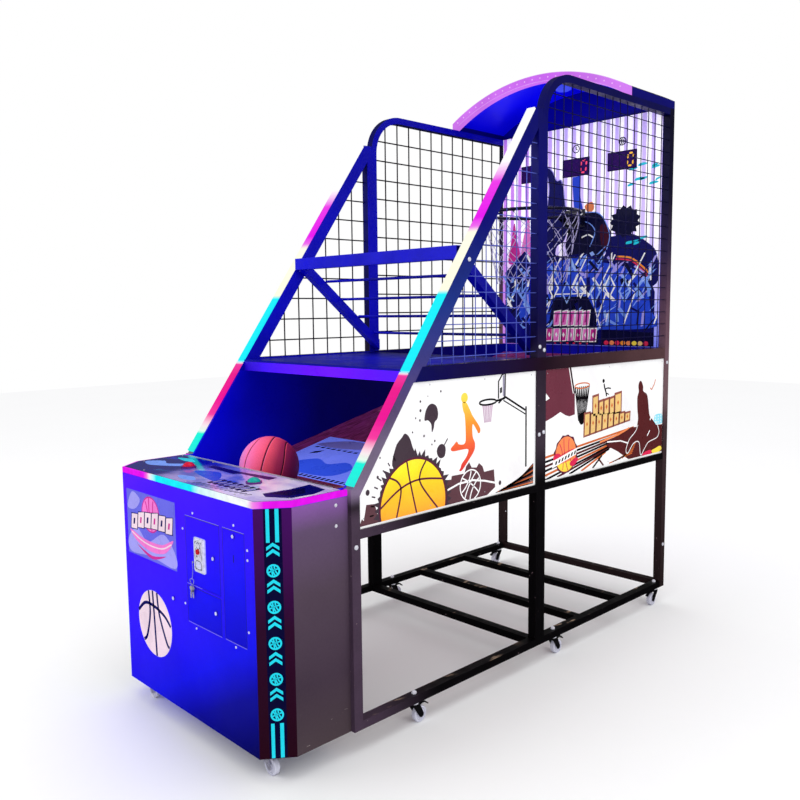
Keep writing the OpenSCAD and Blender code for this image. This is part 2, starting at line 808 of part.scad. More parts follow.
// A domed bolt head on the outside of a side frame, with its shank through the tube
module side_bolt(y, z) {
    translate([half_w, y, z]) rotate([0, 90, 0]) {
        cylinder(r = 8, h = 2);
        translate([0, 0, 2]) cylinder(r1 = 8, r2 = 4.5, h = 2.5);
        translate([0, 0, 0.2 - tube]) cylinder(r = bolt_r, h = tube);
    }
}

// A screw head on the cabinet's front face
module face_screw(x, z) { along_y(x, -1.8, z, 4, 1.8); }

// The stem that a caster turns on, with its lower head, fixed cup and the nut on top
module caster_stem(x, y, nut_z) {
    translate([x, y, 0]) {
        translate([0, 0, fork_top + slip]) cylinder(r = 16, h = rail_z - fork_top - slip);
        translate([0, 0, 61]) cylinder(r = 9, h = 4);
        translate([0, 0, 61]) cylinder(r = stem_r, h = nut_z - 60);
        translate([0, 0, nut_z]) cylinder(r = 9.5, h = 7, $fn = 6);
        translate([0, 0, nut_z + 7]) cylinder(r1 = 7.5, r2 = 4, h = 4);
    }
}

module frame_bolts() {
    color([0.85, 0.85, 0.88]) from_front() {
        both_sides() {
            for (b = concat(front_bolts, rear_bolts)) side_bolt(b[0], b[1]);
            for (p = cabinet_screws) translate([cabinet_x, p[0], p[1]]) rotate([0, 90, 0])
                cylinder(r1 = 6, r2 = 4, h = 2.2);
            for (y = side_caster_y) caster_stem(caster_x, y, rail_z + slim);
            caster_stem(cabinet_caster[0], cabinet_caster[1], rail_z + board);
        }
        for (p = face_screws) face_screw(p[0], p[1]);
        for (x = rim_bolt_x, z = rim_bolt_z) {
            along_y(x, board_y - 9, rim_z + z, 7, 4);
            along_y(x, board_y - 6, rim_z + z, bolt_r, 18 + backboard_t);
            along_y(x, board_back_y, rim_z + z, 7, 5);
        }
    }
}

// ---- casters ----

// Places a caster whose trail runs along +Y, turned about its stem
module at_caster(x, y, turn) { from_front() translate([x, y, 0]) rotate(turn) children(); }

module fork(x, y, turn, brake) {
    leg_x = wheel_w / 2 + 2;
    leg_t = 2.5;
    under = fork_top - fork_plate;
    axle_end = leg_x + leg_t + 1;
    color([0.08, 0.08, 0.09]) at_caster(x, y, turn) {
        difference() {
            translate([0, 0, under]) cylinder(r = 19, h = fork_plate);
            translate([0, 0, under - 1]) cylinder(r = stem_r + fit, h = fork_plate + 2);
            translate([0, 0, under - 1]) cylinder(r = 9 + slip, h = 1.2);
        }
        both_sides() across(leg_x, leg_t) {
            polygon([[-14, fork_top], [14, fork_top], [caster_trail + 11, wheel_r + 2],
                [caster_trail + 8, wheel_r - 8], [caster_trail - 9, wheel_r - 6], [-14, under]]);
            translate([caster_trail, wheel_r]) circle(r = 11, $fn = 32);
        }
        translate([-axle_end, caster_trail, wheel_r]) rotate([0, 90, 0])
            cylinder(r = axle_r, h = 2 * axle_end);
        if (brake) {
            across(-7, 14) polygon([[10, under], [14, fork_top], [50, 70], [68, 56], [66, 52], [48, 65]]);
            both_sides() across(leg_x - 4, 4) polygon([[12, under], [14, 73], [30, 73], [30, 68]]);
        }
    }
}

module wheel(x, y, turn) {
    w = wheel_w / 2;
    bore = axle_r + fit;
    color([0.85, 0.87, 0.9]) at_caster(x, y, turn) translate([0, caster_trail, wheel_r])
        rotate([0, 90, 0]) rotate_extrude($fn = 64) polygon([[bore, -w - 1.5], [9, -w - 1.5],
            [9, -w + 3], [wheel_r - 9, -w + 3], [wheel_r - 7, -w], [wheel_r - 2, -w],
            [wheel_r, -w + 3], [wheel_r, w - 3], [wheel_r - 2, w], [wheel_r - 7, w],
            [wheel_r - 9, w - 3], [9, w - 3], [9, w + 1.5], [bore, w + 1.5]]);
}

module cabinet_left_fork() { fork(-cabinet_caster[0], cabinet_caster[1], -90, false); }
module cabinet_right_fork() { fork(cabinet_caster[0], cabinet_caster[1], -90, false); }
module left_front_fork() { fork(-caster_x, side_caster_y[0], 0, true); }
module left_middle_fork() { fork(-caster_x, side_caster_y[1], 0, true); }
module left_rear_fork() { fork(-caster_x, side_caster_y[2], 180, true); }
module right_front_fork() { fork(caster_x, side_caster_y[0], 0, true); }
module right_middle_fork() { fork(caster_x, side_caster_y[1], 0, true); }
module right_rear_fork() { fork(caster_x, side_caster_y[2], 180, true); }
module cabinet_left_wheel() { wheel(-cabinet_caster[0], cabinet_caster[1], -90); }
module cabinet_right_wheel() { wheel(cabinet_caster[0], cabinet_caster[1], -90); }
module left_front_wheel() { wheel(-caster_x, side_caster_y[0], 0); }
module left_middle_wheel() { wheel(-caster_x, side_caster_y[1], 0); }
module left_rear_wheel() { wheel(-caster_x, side_caster_y[2], 180); }
module right_front_wheel() { wheel(caster_x, side_caster_y[0], 0); }
module right_middle_wheel() { wheel(caster_x, side_caster_y[1], 0); }
module right_rear_wheel() { wheel(caster_x, side_caster_y[2], 180); }

front_frame_left();
front_frame_right();
rear_frame_left();
rear_frame_right();
crossbars();
ball_guard();
lane_beam();
lane_cover();
lane_walls();
front_meshes();
rear_meshes();
front_panels();
rear_panels();
ball_ramp();
backboard();
rim();
net();
hoop_sensor();
roof();
arch_light();
ceiling_lamp();
score_displays();
arm_lights();
deck_light();
cabinet();
deck();
coin_door();
cash_door();
service_door();
coin_acceptor();
coin_return_button();
coin_lock();
cash_lock();
service_lock();
power_key();
cash_box();
electronics_tray();
red_button();
green_button();
button_housings();
ball_gate();
gate_actuator();
ball();
frame_bolts();
cabinet_left_fork();
cabinet_right_fork();
left_front_fork();
left_middle_fork();
left_rear_fork();
right_front_fork();
right_middle_fork();
right_rear_fork();
cabinet_left_wheel();
cabinet_right_wheel();
left_front_wheel();
left_middle_wheel();
left_rear_wheel();
right_front_wheel();
right_middle_wheel();
right_rear_wheel();
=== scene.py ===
"""Looks of the basketball hoop machine: finishes, printed artwork, lights, meshes, net and ball."""
import math
import random

import bmesh
import bpy
from mathutils import Matrix, Vector, noise

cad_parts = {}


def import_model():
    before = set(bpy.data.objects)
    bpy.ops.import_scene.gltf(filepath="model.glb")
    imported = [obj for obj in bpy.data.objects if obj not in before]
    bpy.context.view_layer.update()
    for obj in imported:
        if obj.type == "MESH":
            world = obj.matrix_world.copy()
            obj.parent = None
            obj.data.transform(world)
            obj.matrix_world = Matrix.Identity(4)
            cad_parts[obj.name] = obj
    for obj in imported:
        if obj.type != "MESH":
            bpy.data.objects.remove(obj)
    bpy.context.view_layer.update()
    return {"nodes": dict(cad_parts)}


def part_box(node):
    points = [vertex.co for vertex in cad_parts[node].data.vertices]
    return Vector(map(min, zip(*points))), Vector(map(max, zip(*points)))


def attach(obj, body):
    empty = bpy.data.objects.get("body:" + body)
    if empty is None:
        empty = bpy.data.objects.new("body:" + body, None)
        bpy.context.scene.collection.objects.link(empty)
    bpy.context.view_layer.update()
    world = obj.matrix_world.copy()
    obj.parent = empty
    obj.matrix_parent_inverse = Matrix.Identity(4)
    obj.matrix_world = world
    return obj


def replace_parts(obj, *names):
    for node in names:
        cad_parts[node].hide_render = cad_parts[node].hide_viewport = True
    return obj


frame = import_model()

NODES = frame["nodes"]
ROOT = "machine"
MM = 0.001
BACK_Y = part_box("rear_frame_right")[1].y
FRONT_Y = -BACK_Y
INNER_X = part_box("lane_cover")[1].x
X, Y, Z = Vector((1, 0, 0)), Vector((0, 1, 0)), Vector((0, 0, 1))


def at(x, depth, z):
    """A point from millimetres: across, behind the cabinet's front face, above the floor."""
    return Vector((x * MM, FRONT_Y + depth * MM, z * MM))


def rgb(red, green, blue):
    """A linear colour from screen values of 0 to 255."""
    def linear(c):
        c /= 255
        return c / 12.92 if c <= 0.04045 else ((c + 0.055) / 1.055) ** 2.4
    return (linear(red), linear(green), linear(blue), 1.0)


# ---------------------------------------------------------------- materials

LIT_DARKENING = 0.96      # how far the base of a lit surface goes to black
PAINT_SHINE = 0.4         # share of the given shine on paint and plastic
COAT_WEIGHT = 0.5         # share of the given clear coat
COAT_ROUGHNESS = 0.12


class Graph:
    """A node material that works in the part's own coordinates, in metres."""

    def __init__(self, name):
        self.material = bpy.data.materials.new(name)
        self.material.use_nodes = True
        self.tree = self.material.node_tree
        self.shader = self.tree.nodes["Principled BSDF"]
        coords = self.tree.nodes.new("ShaderNodeTexCoord").outputs
        self.place = coords["Object"]
        self.x, self.y, self.z = self.node("ShaderNodeSeparateXYZ", [self.place]).outputs
        facing = self.node("ShaderNodeSeparateXYZ", [coords["Normal"]])
        self.side, self.behind, self.up = facing.outputs

    def node(self, kind, values=(), **settings):
        node = self.tree.nodes.new(kind)
        for key, value in settings.items():
            setattr(node, key, value)
        pairs = values.items() if isinstance(values, dict) else enumerate(values)
        for key, value in pairs:
            if isinstance(value, bpy.types.NodeSocket):
                self.tree.links.new(value, node.inputs[key])
            else:
                node.inputs[key].default_value = value
        return node

    def calc(self, operation, a, b=0.0):
        return self.node("ShaderNodeMath", [a, b], operation=operation).outputs[0]

    def less(self, a, b, share):
        """a less a share of b."""
        return self.calc("SUBTRACT", a, self.calc("MULTIPLY", b, share))

    def times(self, *values):
        total = values[0]
        for value in values[1:]:
            total = self.calc("MULTIPLY", total, value)
        return total

    def spread(self, value, low, high, to_low=0.0, to_high=1.0):
        """Carries low..high onto to_low..to_high with soft ends."""
        values = [value, low, high, to_low, to_high]
        return self.node("ShaderNodeMapRange", values, interpolation_type="SMOOTHSTEP").outputs[0]

    def noise(self, scale, detail=2.0, stretch=(1, 1, 1), seed=0.0):
        vector = self.node("ShaderNodeVectorMath", [self.place, stretch], operation="MULTIPLY")
        values = {"Vector": vector.outputs[0], "W": seed, "Scale": scale, "Detail": detail}
        return self.node("ShaderNodeTexNoise", values, noise_dimensions="4D").outputs["Fac"]

    def drift(self, low, high, scale, *settings):
        """Noise carried onto low..high, for a value that wanders over the surface."""
        return self.spread(self.noise(scale, *settings), 0.3, 0.7, low, high)

    def cells(self, scale):
        values = {"Vector": self.place, "Scale": scale}
        return self.node("ShaderNodeTexVoronoi", values).outputs["Distance"]

    def mix(self, factor, a, b, blend="MIX"):
        values = {0: factor, 6: a, 7: b}
        return self.node("ShaderNodeMix", values, data_type="RGBA", blend_type=blend).outputs[2]

    def ramp(self, value, stops):
        """Colours at given values: [(value, red, green, blue), ...] in rising order."""
        low, high = stops[0][0], stops[-1][0]
        share = self.node("ShaderNodeMapRange", [value, low, high, 0.0, 1.0]).outputs[0]
        node = self.node("ShaderNodeValToRGB", [share])
        elements = node.color_ramp.elements
        while len(elements) < len(stops):
            elements.new(0.5)
        for element, (place, *color) in zip(elements, stops):
            element.position = (place - low) / (high - low)
            element.color = rgb(*color)
        return node.outputs[0]

    def mottle(self, color, amount, scale=6.0):
        """The colour with slow clouds and fine grain."""
        slow = self.drift(1 - amount, 1 + amount, scale, 3)
        fine = self.drift(-amount / 2, amount / 2, scale * 25, 2)
        return self.mix(1.0, color, self.calc("ADD", slow, fine), "MULTIPLY")

    def finish(self, color, rough=0.5, metal=0.0, shine=0.5, bump=None, depth=0.1,
               coat=0.0, glow=0.0, lit=False):
        """Sets the surface. Bump is a height map, or the scale of a fine noise, and depth is its
        height in millimetres. A lit surface shows its own colour and little of the room's light."""
        base = self.mix(LIT_DARKENING, color, rgb(0, 0, 0)) if lit else color
        values = {"Base Color": base, "Roughness": rough, "Metallic": metal,
                  "Specular IOR Level": shine if metal else PAINT_SHINE * shine,
                  "Coat Weight": COAT_WEIGHT * coat, "Coat Roughness": COAT_ROUGHNESS}
        if isinstance(bump, int):
            bump = self.noise(bump, 2)
        if bump is not None:
            relief = self.node("ShaderNodeBump", {"Height": bump, "Strength": 1.0,
                                                  "Distance": depth * MM})
            values["Normal"] = relief.outputs[0]
        if not isinstance(glow, float) or glow > 0:
            values["Emission Color"] = color
            values["Emission Strength"] = glow
        for key, value in values.items():
            socket = self.shader.inputs[key]
            if isinstance(value, bpy.types.NodeSocket):
                self.tree.links.new(value, socket)
            else:
                socket.default_value = value
        return self.material


ARM_TOP_Z, ARM_SLOPE = 2.118, 0.7186      # the sloping arm: where it meets the tower, depth per height


def frame_paint():
    """Powder coat, near-black, with light painted in: plum-grey and brown sheen on the arms, posts and rails,
    navy lamp light high up under the lamps, and bright blue lamp light on the inner faces.
    """
    g = Graph("frame_powder_coat")
    # Painted light on black coat: these ramps add plum-grey and brown sheen and navy lamp light by height and
    # place.
    post = g.ramp(g.z, [(0.08, 10, 8, 11), (0.78, 12, 9, 13), (0.95, 60, 48, 60),
                        (1.22, 46, 34, 50), (1.42, 11, 5, 66), (1.75, 3, 3, 96),
                        (2.1, 1, 1, 106), (2.45, 3, 2, 74)])
    arm = g.ramp(g.z, [(0.9, 122, 104, 134), (1.0, 113, 99, 124), (1.15, 85, 69, 110),
                       (1.3, 57, 55, 123), (1.5, 23, 48, 130), (1.8, 1, 2, 114),
                       (2.2, 1, 2, 108)])
    back = g.ramp(g.z, [(0.1, 40, 27, 29), (0.9, 66, 48, 52), (1.05, 114, 87, 92),
                        (1.4, 108, 76, 91), (1.75, 48, 34, 64), (2.05, 9, 5, 40)])
    rail = g.ramp(g.y, [(-0.6, 1, 2, 84), (0.15, 31, 10, 30), (0.8, 74, 48, 52),
                        (1.15, 84, 56, 60)])
    color = g.mix(g.times(g.spread(g.y, 0.118, 0.108), g.spread(g.z, 0.84, 0.9)), post, arm)
    behind_arm = g.less(g.y, g.calc("SUBTRACT", g.z, ARM_TOP_Z), ARM_SLOPE)
    level = g.times(g.spread(g.z, 1.233, 1.2345), g.spread(g.z, 1.2885, 1.287))
    color = g.mix(g.times(level, g.spread(behind_arm, 0.05, 0.056)), color, rail)
    color = g.mix(g.spread(g.y, 1.158, 1.163), color, back)
    front = g.times(g.spread(g.y, -0.45, -0.87), g.spread(g.z, 0.86, 0.8))
    color = g.mix(front, color, rgb(70, 54, 72))
    # Painted lamp light: bright blue on the inner faces of the upper frame.
    glint = g.ramp(g.z, [(0.9, 3, 3, 110), (1.5, 3, 2, 200), (2.2, 2, 2, 165)])
    inner = g.times(g.spread(g.calc("ABSOLUTE", g.x), INNER_X + 0.003, INNER_X + 0.0005),
                    g.spread(g.z, 0.88, 0.92))
    color = g.mottle(g.mix(inner, color, glint), 0.1)
    scuff = g.times(g.spread(g.noise(26, 5, (1, 0.35, 1), 2), 0.57, 0.66), g.spread(g.up, 0.5, 0.9),
                    g.spread(g.z, 1.4, 1.3), g.spread(g.noise(3.5, 2, seed=5), 0.46, 0.6))
    color = g.mix(scuff, color, rgb(206, 178, 152))
    nick = g.times(g.spread(g.noise(70, 3, seed=9), 0.7, 0.73), g.spread(g.z, 1.3, 1.0))
    color = g.mix(nick, color, rgb(120, 102, 108))
    rough = g.drift(0.3, 0.5, 14, 3)
    return g.finish(color, rough, shine=0.3, bump=420, depth=0.08)


def guard_paint():
    g = Graph("guard_blue_coat")
    # Painted light: the blue gets brighter upwards and towards the left.
    color = g.ramp(g.z, [(1.28, 3, 2, 96), (1.62, 4, 3, 150), (1.68, 6, 4, 196)])
    color = g.mix(g.spread(g.x, -0.1, -0.45), color, rgb(4, 3, 205))
    return g.finish(g.mottle(color, 0.12), g.drift(0.28, 0.42, 18, 2),
                    shine=0.4, bump=420, depth=0.08)


def wire_paint(name, stops):
    """Dipped wire, with small runs in the coating."""
    g = Graph(name)
    color = g.mottle(g.ramp(g.x, stops), 0.2, 20)
    return g.finish(color, g.drift(0.3, 0.5, 60, 3), shine=0.35,
                    bump=g.noise(260, 3), depth=0.15)


def board_paint(name, stops, axis="y", glow=0.0):
    """A painted or laminated board whose colour follows the light along one axis; glow paints light on it as
    well.
    """
    g = Graph(name)
    color = g.mottle(g.ramp(getattr(g, axis), stops), 0.08)
    rough = g.drift(0.2625, 0.4375, 9, 4)
    return g.finish(color, rough, shine=0.3, bump=g.noise(300, 3), depth=0.06, glow=glow)


def cabinet_paint():
    """Blue front, maroon chamfers, grey-plum sides, as the enamel catches the lights."""
    g = Graph("cabinet_enamel")
    blue = g.ramp(g.less(g.z, g.x, 0.55),
                  [(-0.15, 2, 2, 84), (0.06, 2, 2, 150), (0.21, 3, 2, 232),
                   (0.6, 46, 2, 252), (0.96, 68, 2, 254), (1.1, 84, 4, 254)])
    plum = g.ramp(g.z, [(0.08, 76, 63, 69), (0.3, 66, 52, 66), (0.6, 80, 65, 80),
                        (0.8, 94, 74, 104), (0.9, 136, 88, 166)])
    maroon = g.ramp(g.z, [(0.08, 40, 3, 22), (0.5, 44, 5, 40), (0.88, 66, 6, 94)])
    across = g.calc("ABSOLUTE", g.side)
    color = g.mix(g.spread(across, 0.3, 0.5), blue, maroon)
    color = g.mix(g.spread(across, 0.88, 0.95), color, plum)
    color = g.mix(g.spread(g.behind, 0.5, 0.8), color, rgb(16, 14, 22))
    scratch = g.spread(g.noise(9, 5, (1, 3.2, 18), 3), 0.67, 0.69)
    scratch = g.times(scratch, g.spread(across, 0.88, 0.95), g.spread(g.z, 0.24, 0.1))
    color = g.mix(g.times(scratch, 0.7), color, rgb(196, 182, 180))
    color = g.mottle(color, 0.05, 4)
    rough = g.drift(0.34, 0.52, 7, 4)
    return g.finish(color, rough, shine=0.16, bump=350, depth=0.05)


def door_paint():
    g = Graph("door_enamel")
    # Painted light: the blue gets lighter and more violet upwards and to the left, as on the cabinet.
    color = g.ramp(g.less(g.z, g.x, 0.5),
                   [(0.2, 3, 2, 190), (0.45, 10, 2, 240), (0.8, 50, 2, 254)])
    # Painted reflection: the door's edge faces in grey-violet.
    edge = g.spread(g.behind, -0.9, -0.5)
    color = g.mix(edge, g.mottle(color, 0.05, 5), rgb(60, 60, 90))
    return g.finish(color, g.drift(0.3, 0.45, 8, 3), shine=0.16,
                    bump=350, depth=0.05)


def panel_paint():
    """White laminated board with faint dirt."""
    g = Graph("panel_white_laminate")
    grime = g.spread(g.noise(5, 5), 0.35, 0.75)
    color = g.mix(grime, rgb(252, 252, 253), rgb(240, 238, 240))
    return g.finish(color, g.drift(0.25, 0.38, 12, 2), shine=0.35,
                    bump=500, depth=0.04)


def backboard_paint():
    """Frosted board lit from the sides, with soft upright streaks."""
    g = Graph("backboard_print_ground")
    wave = g.calc("SINE", g.calc("MULTIPLY", g.x, 125.0))
    streak = g.spread(g.calc("ADD", wave, g.times(g.noise(7, 3), 1.2)), 0.1, 0.8)
    ground = g.ramp(g.z, [(1.3, 110, 120, 226), (1.6, 196, 190, 245),
                          (1.9, 204, 184, 244), (2.42, 190, 168, 232)])
    ground = g.mix(g.spread(g.x, -0.05, -0.4), ground, rgb(196, 128, 228))
    color = g.mix(g.times(streak, g.spread(g.z, 1.55, 1.9)), ground, rgb(255, 253, 255))
    return g.finish(g.mottle(color, 0.05), 0.24, shine=0.4, bump=200, depth=0.05,
                    glow=0.4)


def ramp_paint():
    """Wine-red laminated board with long grain and scuffs from the balls."""
    g = Graph("ramp_wine_laminate")
    grain = g.noise(30, 4, (6, 0.5, 1))
    color = g.ramp(g.x, [(-0.45, 122, 42, 108), (0.0, 112, 38, 66),
                         (0.45, 126, 58, 58)])
    color = g.mix(g.spread(grain, 0.35, 0.7), color, rgb(64, 14, 34))
    color = g.mix(g.spread(g.noise(20, 5, seed=4), 0.6, 0.75), color, rgb(150, 98, 110))
    # The board glows a little: painted light.
    return g.finish(color, g.spread(grain, 0.3, 0.7, 0.3, 0.5), shine=0.35, bump=grain, depth=0.08,
                    glow=0.4)


def deck_paint():
    """Glossy printed sheet: deep blue with pale clouds, lilac in the middle, pale on the right."""
    g = Graph("deck_printed_sheet")
    cloud = g.noise(7, 5, (1, 1.8, 1), 1)
    left = g.mix(g.spread(cloud, 0.56, 0.7), rgb(6, 10, 128), rgb(40, 150, 220))
    left = g.mix(g.spread(g.noise(16, 4, seed=6), 0.55, 0.72), left, rgb(24, 44, 196))
    middle = g.mix(g.spread(cloud, 0.4, 0.62), rgb(176, 160, 232), rgb(96, 104, 214))
    right = g.mix(g.spread(cloud, 0.45, 0.7), rgb(236, 222, 246), rgb(190, 170, 228))
    wobble = g.times(g.calc("SUBTRACT", g.noise(5, 3, seed=8), 0.5), 0.35)
    along = g.calc("ADD", g.x, wobble)
    color = g.mix(g.spread(along, -0.24, -0.1), left, middle)
    color = g.mix(g.spread(along, 0.1, 0.26), color, right)
    edge = g.spread(g.up, 0.9, 0.5)
    color = g.mix(edge, color, rgb(30, 28, 60))
    return g.finish(color, g.drift(0.06, 0.14, 10, 3), shine=0.5,
                    coat=0.6, bump=60, depth=0.05)


def tube_glow(name, stops, axis, strength=1.0):
    """A frosted light tube: colour by place, brighter along its middle, with soft bands."""
    g = Graph(name)
    color = g.ramp(getattr(g, axis), stops)
    band = g.spread(g.calc("SINE", g.calc("MULTIPLY", getattr(g, axis), 380.0)), -1, 1, 0.985, 1.01)
    return g.finish(color, 0.3, shine=0.2, bump=300, depth=0.05,
                    glow=g.times(band, strength), lit=True)


def deck_glow():
    g = Graph("deck_light_lens")
    magenta, cyan, white = (231, 20, 238), (26, 238, 250), (246, 250, 253)
    front = g.ramp(g.x, [(-0.43, *magenta), (-0.262, *magenta), (-0.24, 246, 108, 221),
                         (-0.215, *white), (-0.195, 180, 245, 252), (-0.17, *cyan), (0.07, *cyan),
                         (0.12, 209, 248, 252), (0.3, *white), (0.4, *white),
                         (0.432, 240, 130, 230), (0.45, *magenta)])
    bright = g.drift(0.9, 1.05, 40, 2)
    return g.finish(front, 0.3, shine=0.2, bump=300, depth=0.05, glow=bright, lit=True)


def rubber_paint():
    """Ball rubber: pink on the lit side, wine in the shade; black in the grooves."""
    g = Graph("ball_pebbled_rubber")
    facing = g.calc("ADD", g.times(g.side, 0.7), g.times(g.behind, 0.55))
    facing = g.calc("SUBTRACT", facing, g.times(g.up, 0.12))
    color = g.ramp(facing, [(-0.9, 236, 150, 230), (-0.62, 255, 130, 206),
                            (-0.25, 255, 104, 152), (0.1, 240, 80, 106),
                            (0.42, 156, 36, 78), (0.8, 70, 14, 60)])
    groove = g.node("ShaderNodeAttribute", attribute_name="groove").outputs["Fac"]
    pebble = g.cells(330)
    color = g.mix(g.spread(pebble, 0.1, 0.5, 0.0, 0.25), color, rgb(140, 20, 60))
    color = g.mix(g.spread(groove, 0.35, 0.65), g.mottle(color, 0.06, 12), rgb(16, 6, 14))
    height = g.calc("SUBTRACT", 1.0, g.spread(pebble, 0.05, 0.6))
    # The rubber glows a little as well: painted light.
    return g.finish(color, 0.48, shine=0.35, bump=height, depth=0.5, glow=0.18)


def metal(name, color, rough, grain=(1, 1, 1), fine=180, glow=0.0):
    g = Graph(name)
    line = g.noise(fine, 3, grain)
    tone = g.mix(g.spread(line, 0.3, 0.7), color, tuple(c * 0.72 for c in color[:3]) + (1.0,))
    return g.finish(tone, g.spread(line, 0.3, 0.7, rough * 0.7, rough * 1.3), metal=0.4,
                    bump=line, depth=0.02, glow=glow)


def moulded(name, color, rough=0.35, shine=0.45, coat=0.0, glow=0.0, lit=False):
    """Moulded plastic or rubber with a fine texture and slight colour drift."""
    g = Graph(name)
    rough_map = g.drift(rough * 0.8, rough * 1.2, 25, 3)
    return g.finish(g.mottle(color, 0.08, 14), rough_map, shine=shine, bump=g.cells(700),
                    depth=0.03, coat=coat, glow=glow, lit=lit)


def lamp(name, color):
    """A lens that shines in its own colour."""
    return moulded(name, color, 0.3, glow=1.0, lit=True)


def cord_paint():
    """Twisted white cord; its lilac-blue tint is painted lamp light, and the darker bands along the twist are
    painted shade.
    """
    g = Graph("net_twisted_cord")
    twist = g.node("ShaderNodeTexWave", {"Vector": g.place, "Scale": 110.0, "Distortion": 1.5},
                   bands_direction="DIAGONAL").outputs["Fac"]
    color = g.mix(twist, rgb(150, 142, 206), rgb(214, 208, 238))
    return g.finish(g.mottle(color, 0.08, 30), 0.75, shine=0.2, bump=twist, depth=0.5)


def sheet_paint():
    """Roof sheet: navy outside, bright blue below, where the lamp shines on it."""
    g = Graph("roof_blue_coat")
    outside = g.ramp(g.z, [(2.42, 3, 2, 62), (2.6, 2, 2, 96)])
    inside = g.ramp(g.x, [(-0.45, 6, 3, 226), (-0.1, 4, 2, 255), (0.3, 3, 2, 190)])
    color = g.mix(g.spread(g.up, 0.1, -0.3), outside, inside)
    inner_wall = g.times(g.spread(g.behind, -0.5, -0.9), g.spread(g.z, 2.43, 2.46))
    color = g.mix(inner_wall, color, rgb(3, 2, 150))
    return g.finish(g.mottle(color, 0.08), 0.35, shine=0.2, bump=300, depth=0.06,
                    glow=g.spread(g.up, 0.1, -0.3, 0.0, 0.35))


def arch_paint():
    g = Graph("arch_lilac_lens")
    color = g.ramp(g.x, [(-0.5, 204, 116, 234), (0.1, 198, 100, 236),
                         (0.5, 206, 122, 236)])
    return g.finish(g.mottle(color, 0.06, 10), 0.3, shine=0.2, bump=300, depth=0.05,
                    glow=1.0, lit=True)


def ink(name, color, fade=None, axis="z", glow=0.0):
    """Printing ink; fade gives stops along an axis instead of one colour."""
    g = Graph("ink_" + name)
    base = g.ramp(getattr(g, axis), fade) if fade else color
    grain = g.spread(g.cells(900), 0.1, 0.5, 0.97, 1.03)
    base = g.mix(1.0, g.mottle(base, 0.06, 8), grain, "MULTIPLY")
    return g.finish(base, g.drift(0.24, 0.36, 16, 2), shine=0.3,
                    bump=420, depth=0.03, glow=glow)


INKS = {name: ink(name, rgb(*value)) for name, value in {
    "plum_black": (70, 56, 66), "brown": (150, 84, 72), "seam": (96, 34, 60), "black": (14, 10, 16),
    "white": (253, 253, 254), "blocks": (96, 62, 70), "wine": (110, 50, 66), "dark_wine": (88, 34, 36),
    "tan": (236, 196, 124), "rust": (206, 104, 50), "orange": (246, 140, 84), "yellow": (252, 224, 74),
    "crimson": (222, 40, 84), "pale_blue": (150, 226, 246), "net_lilac": (204, 176, 198),
    "navy": (6, 6, 96), "deep_navy": (4, 3, 52), "blue": (34, 70, 214), "sky": (120, 160, 250),
    "cyan": (28, 212, 232), "lilac": (168, 160, 240), "pink": (238, 120, 206),
    "magenta": (206, 40, 150), "maroon": (66, 8, 40), "amber": (250, 150, 50), "decal": (104, 104, 226),
    "decal_haze": (160, 156, 240), "disc": (238, 214, 226), "grey": (150, 146, 168),
    "painted_edge_highlight": (150, 140, 240), "ice": (150, 184, 252)}.items()}
# The ramp's printed sheet and blue patches glow a little: painted light.
INKS["ramp_sheet"] = ink("ramp_sheet", rgb(112, 128, 240), glow=0.45)
INKS["ramp_blue"] = ink("ramp_blue", rgb(48, 80, 214), glow=0.45)
INKS["ball_yellow"] = ink("ball_yellow", None, [(0.775, 253, 168, 50), (0.86, 254, 200, 40),
                                                (0.93, 254, 232, 40), (0.98, 255, 236, 60)])
INKS["player_fire"] = ink("player_fire", None, [(0.89, 214, 46, 50), (0.98, 240, 96, 56),
                                                (1.06, 248, 150, 50), (1.16, 254, 216, 80)])


def paint(material, *names):
    """Gives CAD nodes a finish."""
    for name in names:
        slots = NODES[name].material_slots
        if not slots:
            NODES[name].data.materials.append(material)
        for place in slots:
            place.material = material


# ---------------------------------------------------------------- mesh tools

def link(name, data):
    """A new object in the scene."""
    made = bpy.data.objects.new(name, data)
    bpy.context.scene.collection.objects.link(made)
    return made


def piece(name, mesh, materials, body, slot, smooth=False):
    """Turns a bmesh into a named piece that rides on a body."""
    bmesh.ops.recalc_face_normals(mesh, faces=mesh.faces)
    data = bpy.data.meshes.new(name)
    mesh.to_mesh(data)
    mesh.free()
    for material in materials:
        data.materials.append(material)
    if smooth:
        data.polygons.foreach_set("use_smooth", [True] * len(data.polygons))
    made = link(name, data)
    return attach(made, body)


def prism(mesh, points, offset, index=0):
    """A closed flat solid over a loop of points."""
    low = [mesh.verts.new(p) for p in points]
    high = [mesh.verts.new(p + offset) for p in points]
    count = len(points)
    faces = [mesh.faces.new(high), mesh.faces.new(low[::-1])]
    for i in range(count):
        j = (i + 1) % count
        faces.append(mesh.faces.new((low[i], low[j], high[j], high[i])))
    for face in faces:
        face.material_index = index


def turns(count):
    """Angles round a full circle."""
    return [2 * math.pi * k / count for k in range(count)]


def tube(mesh, points, radius, sides=10, closed=False, index=0):
    """A round rod or cord along a line of points."""
    count = len(points)
    rings = []
    lead = None
    for i, point in enumerate(points):
        before = points[i - 1] if closed or i else point
        after = points[(i + 1) % count] if closed or i < count - 1 else point
        along = (after - before).normalized()
        if lead is None:
            lead = along.orthogonal().normalized()
        lead = (lead - along * lead.dot(along)).normalized()
        third = along.cross(lead)
        rings.append([mesh.verts.new(point + radius * (lead * math.cos(a) + third * math.sin(a)))
                      for a in turns(sides)])
    for i in range(count if closed else count - 1):
        a, b = rings[i], rings[(i + 1) % count]
        for k in range(sides):
            m = (k + 1) % sides
            mesh.faces.new((a[k], a[m], b[m], b[k])).material_index = index
    if not closed:
        mesh.faces.new(rings[0][::-1]).material_index = index
        mesh.faces.new(rings[-1]).material_index = index


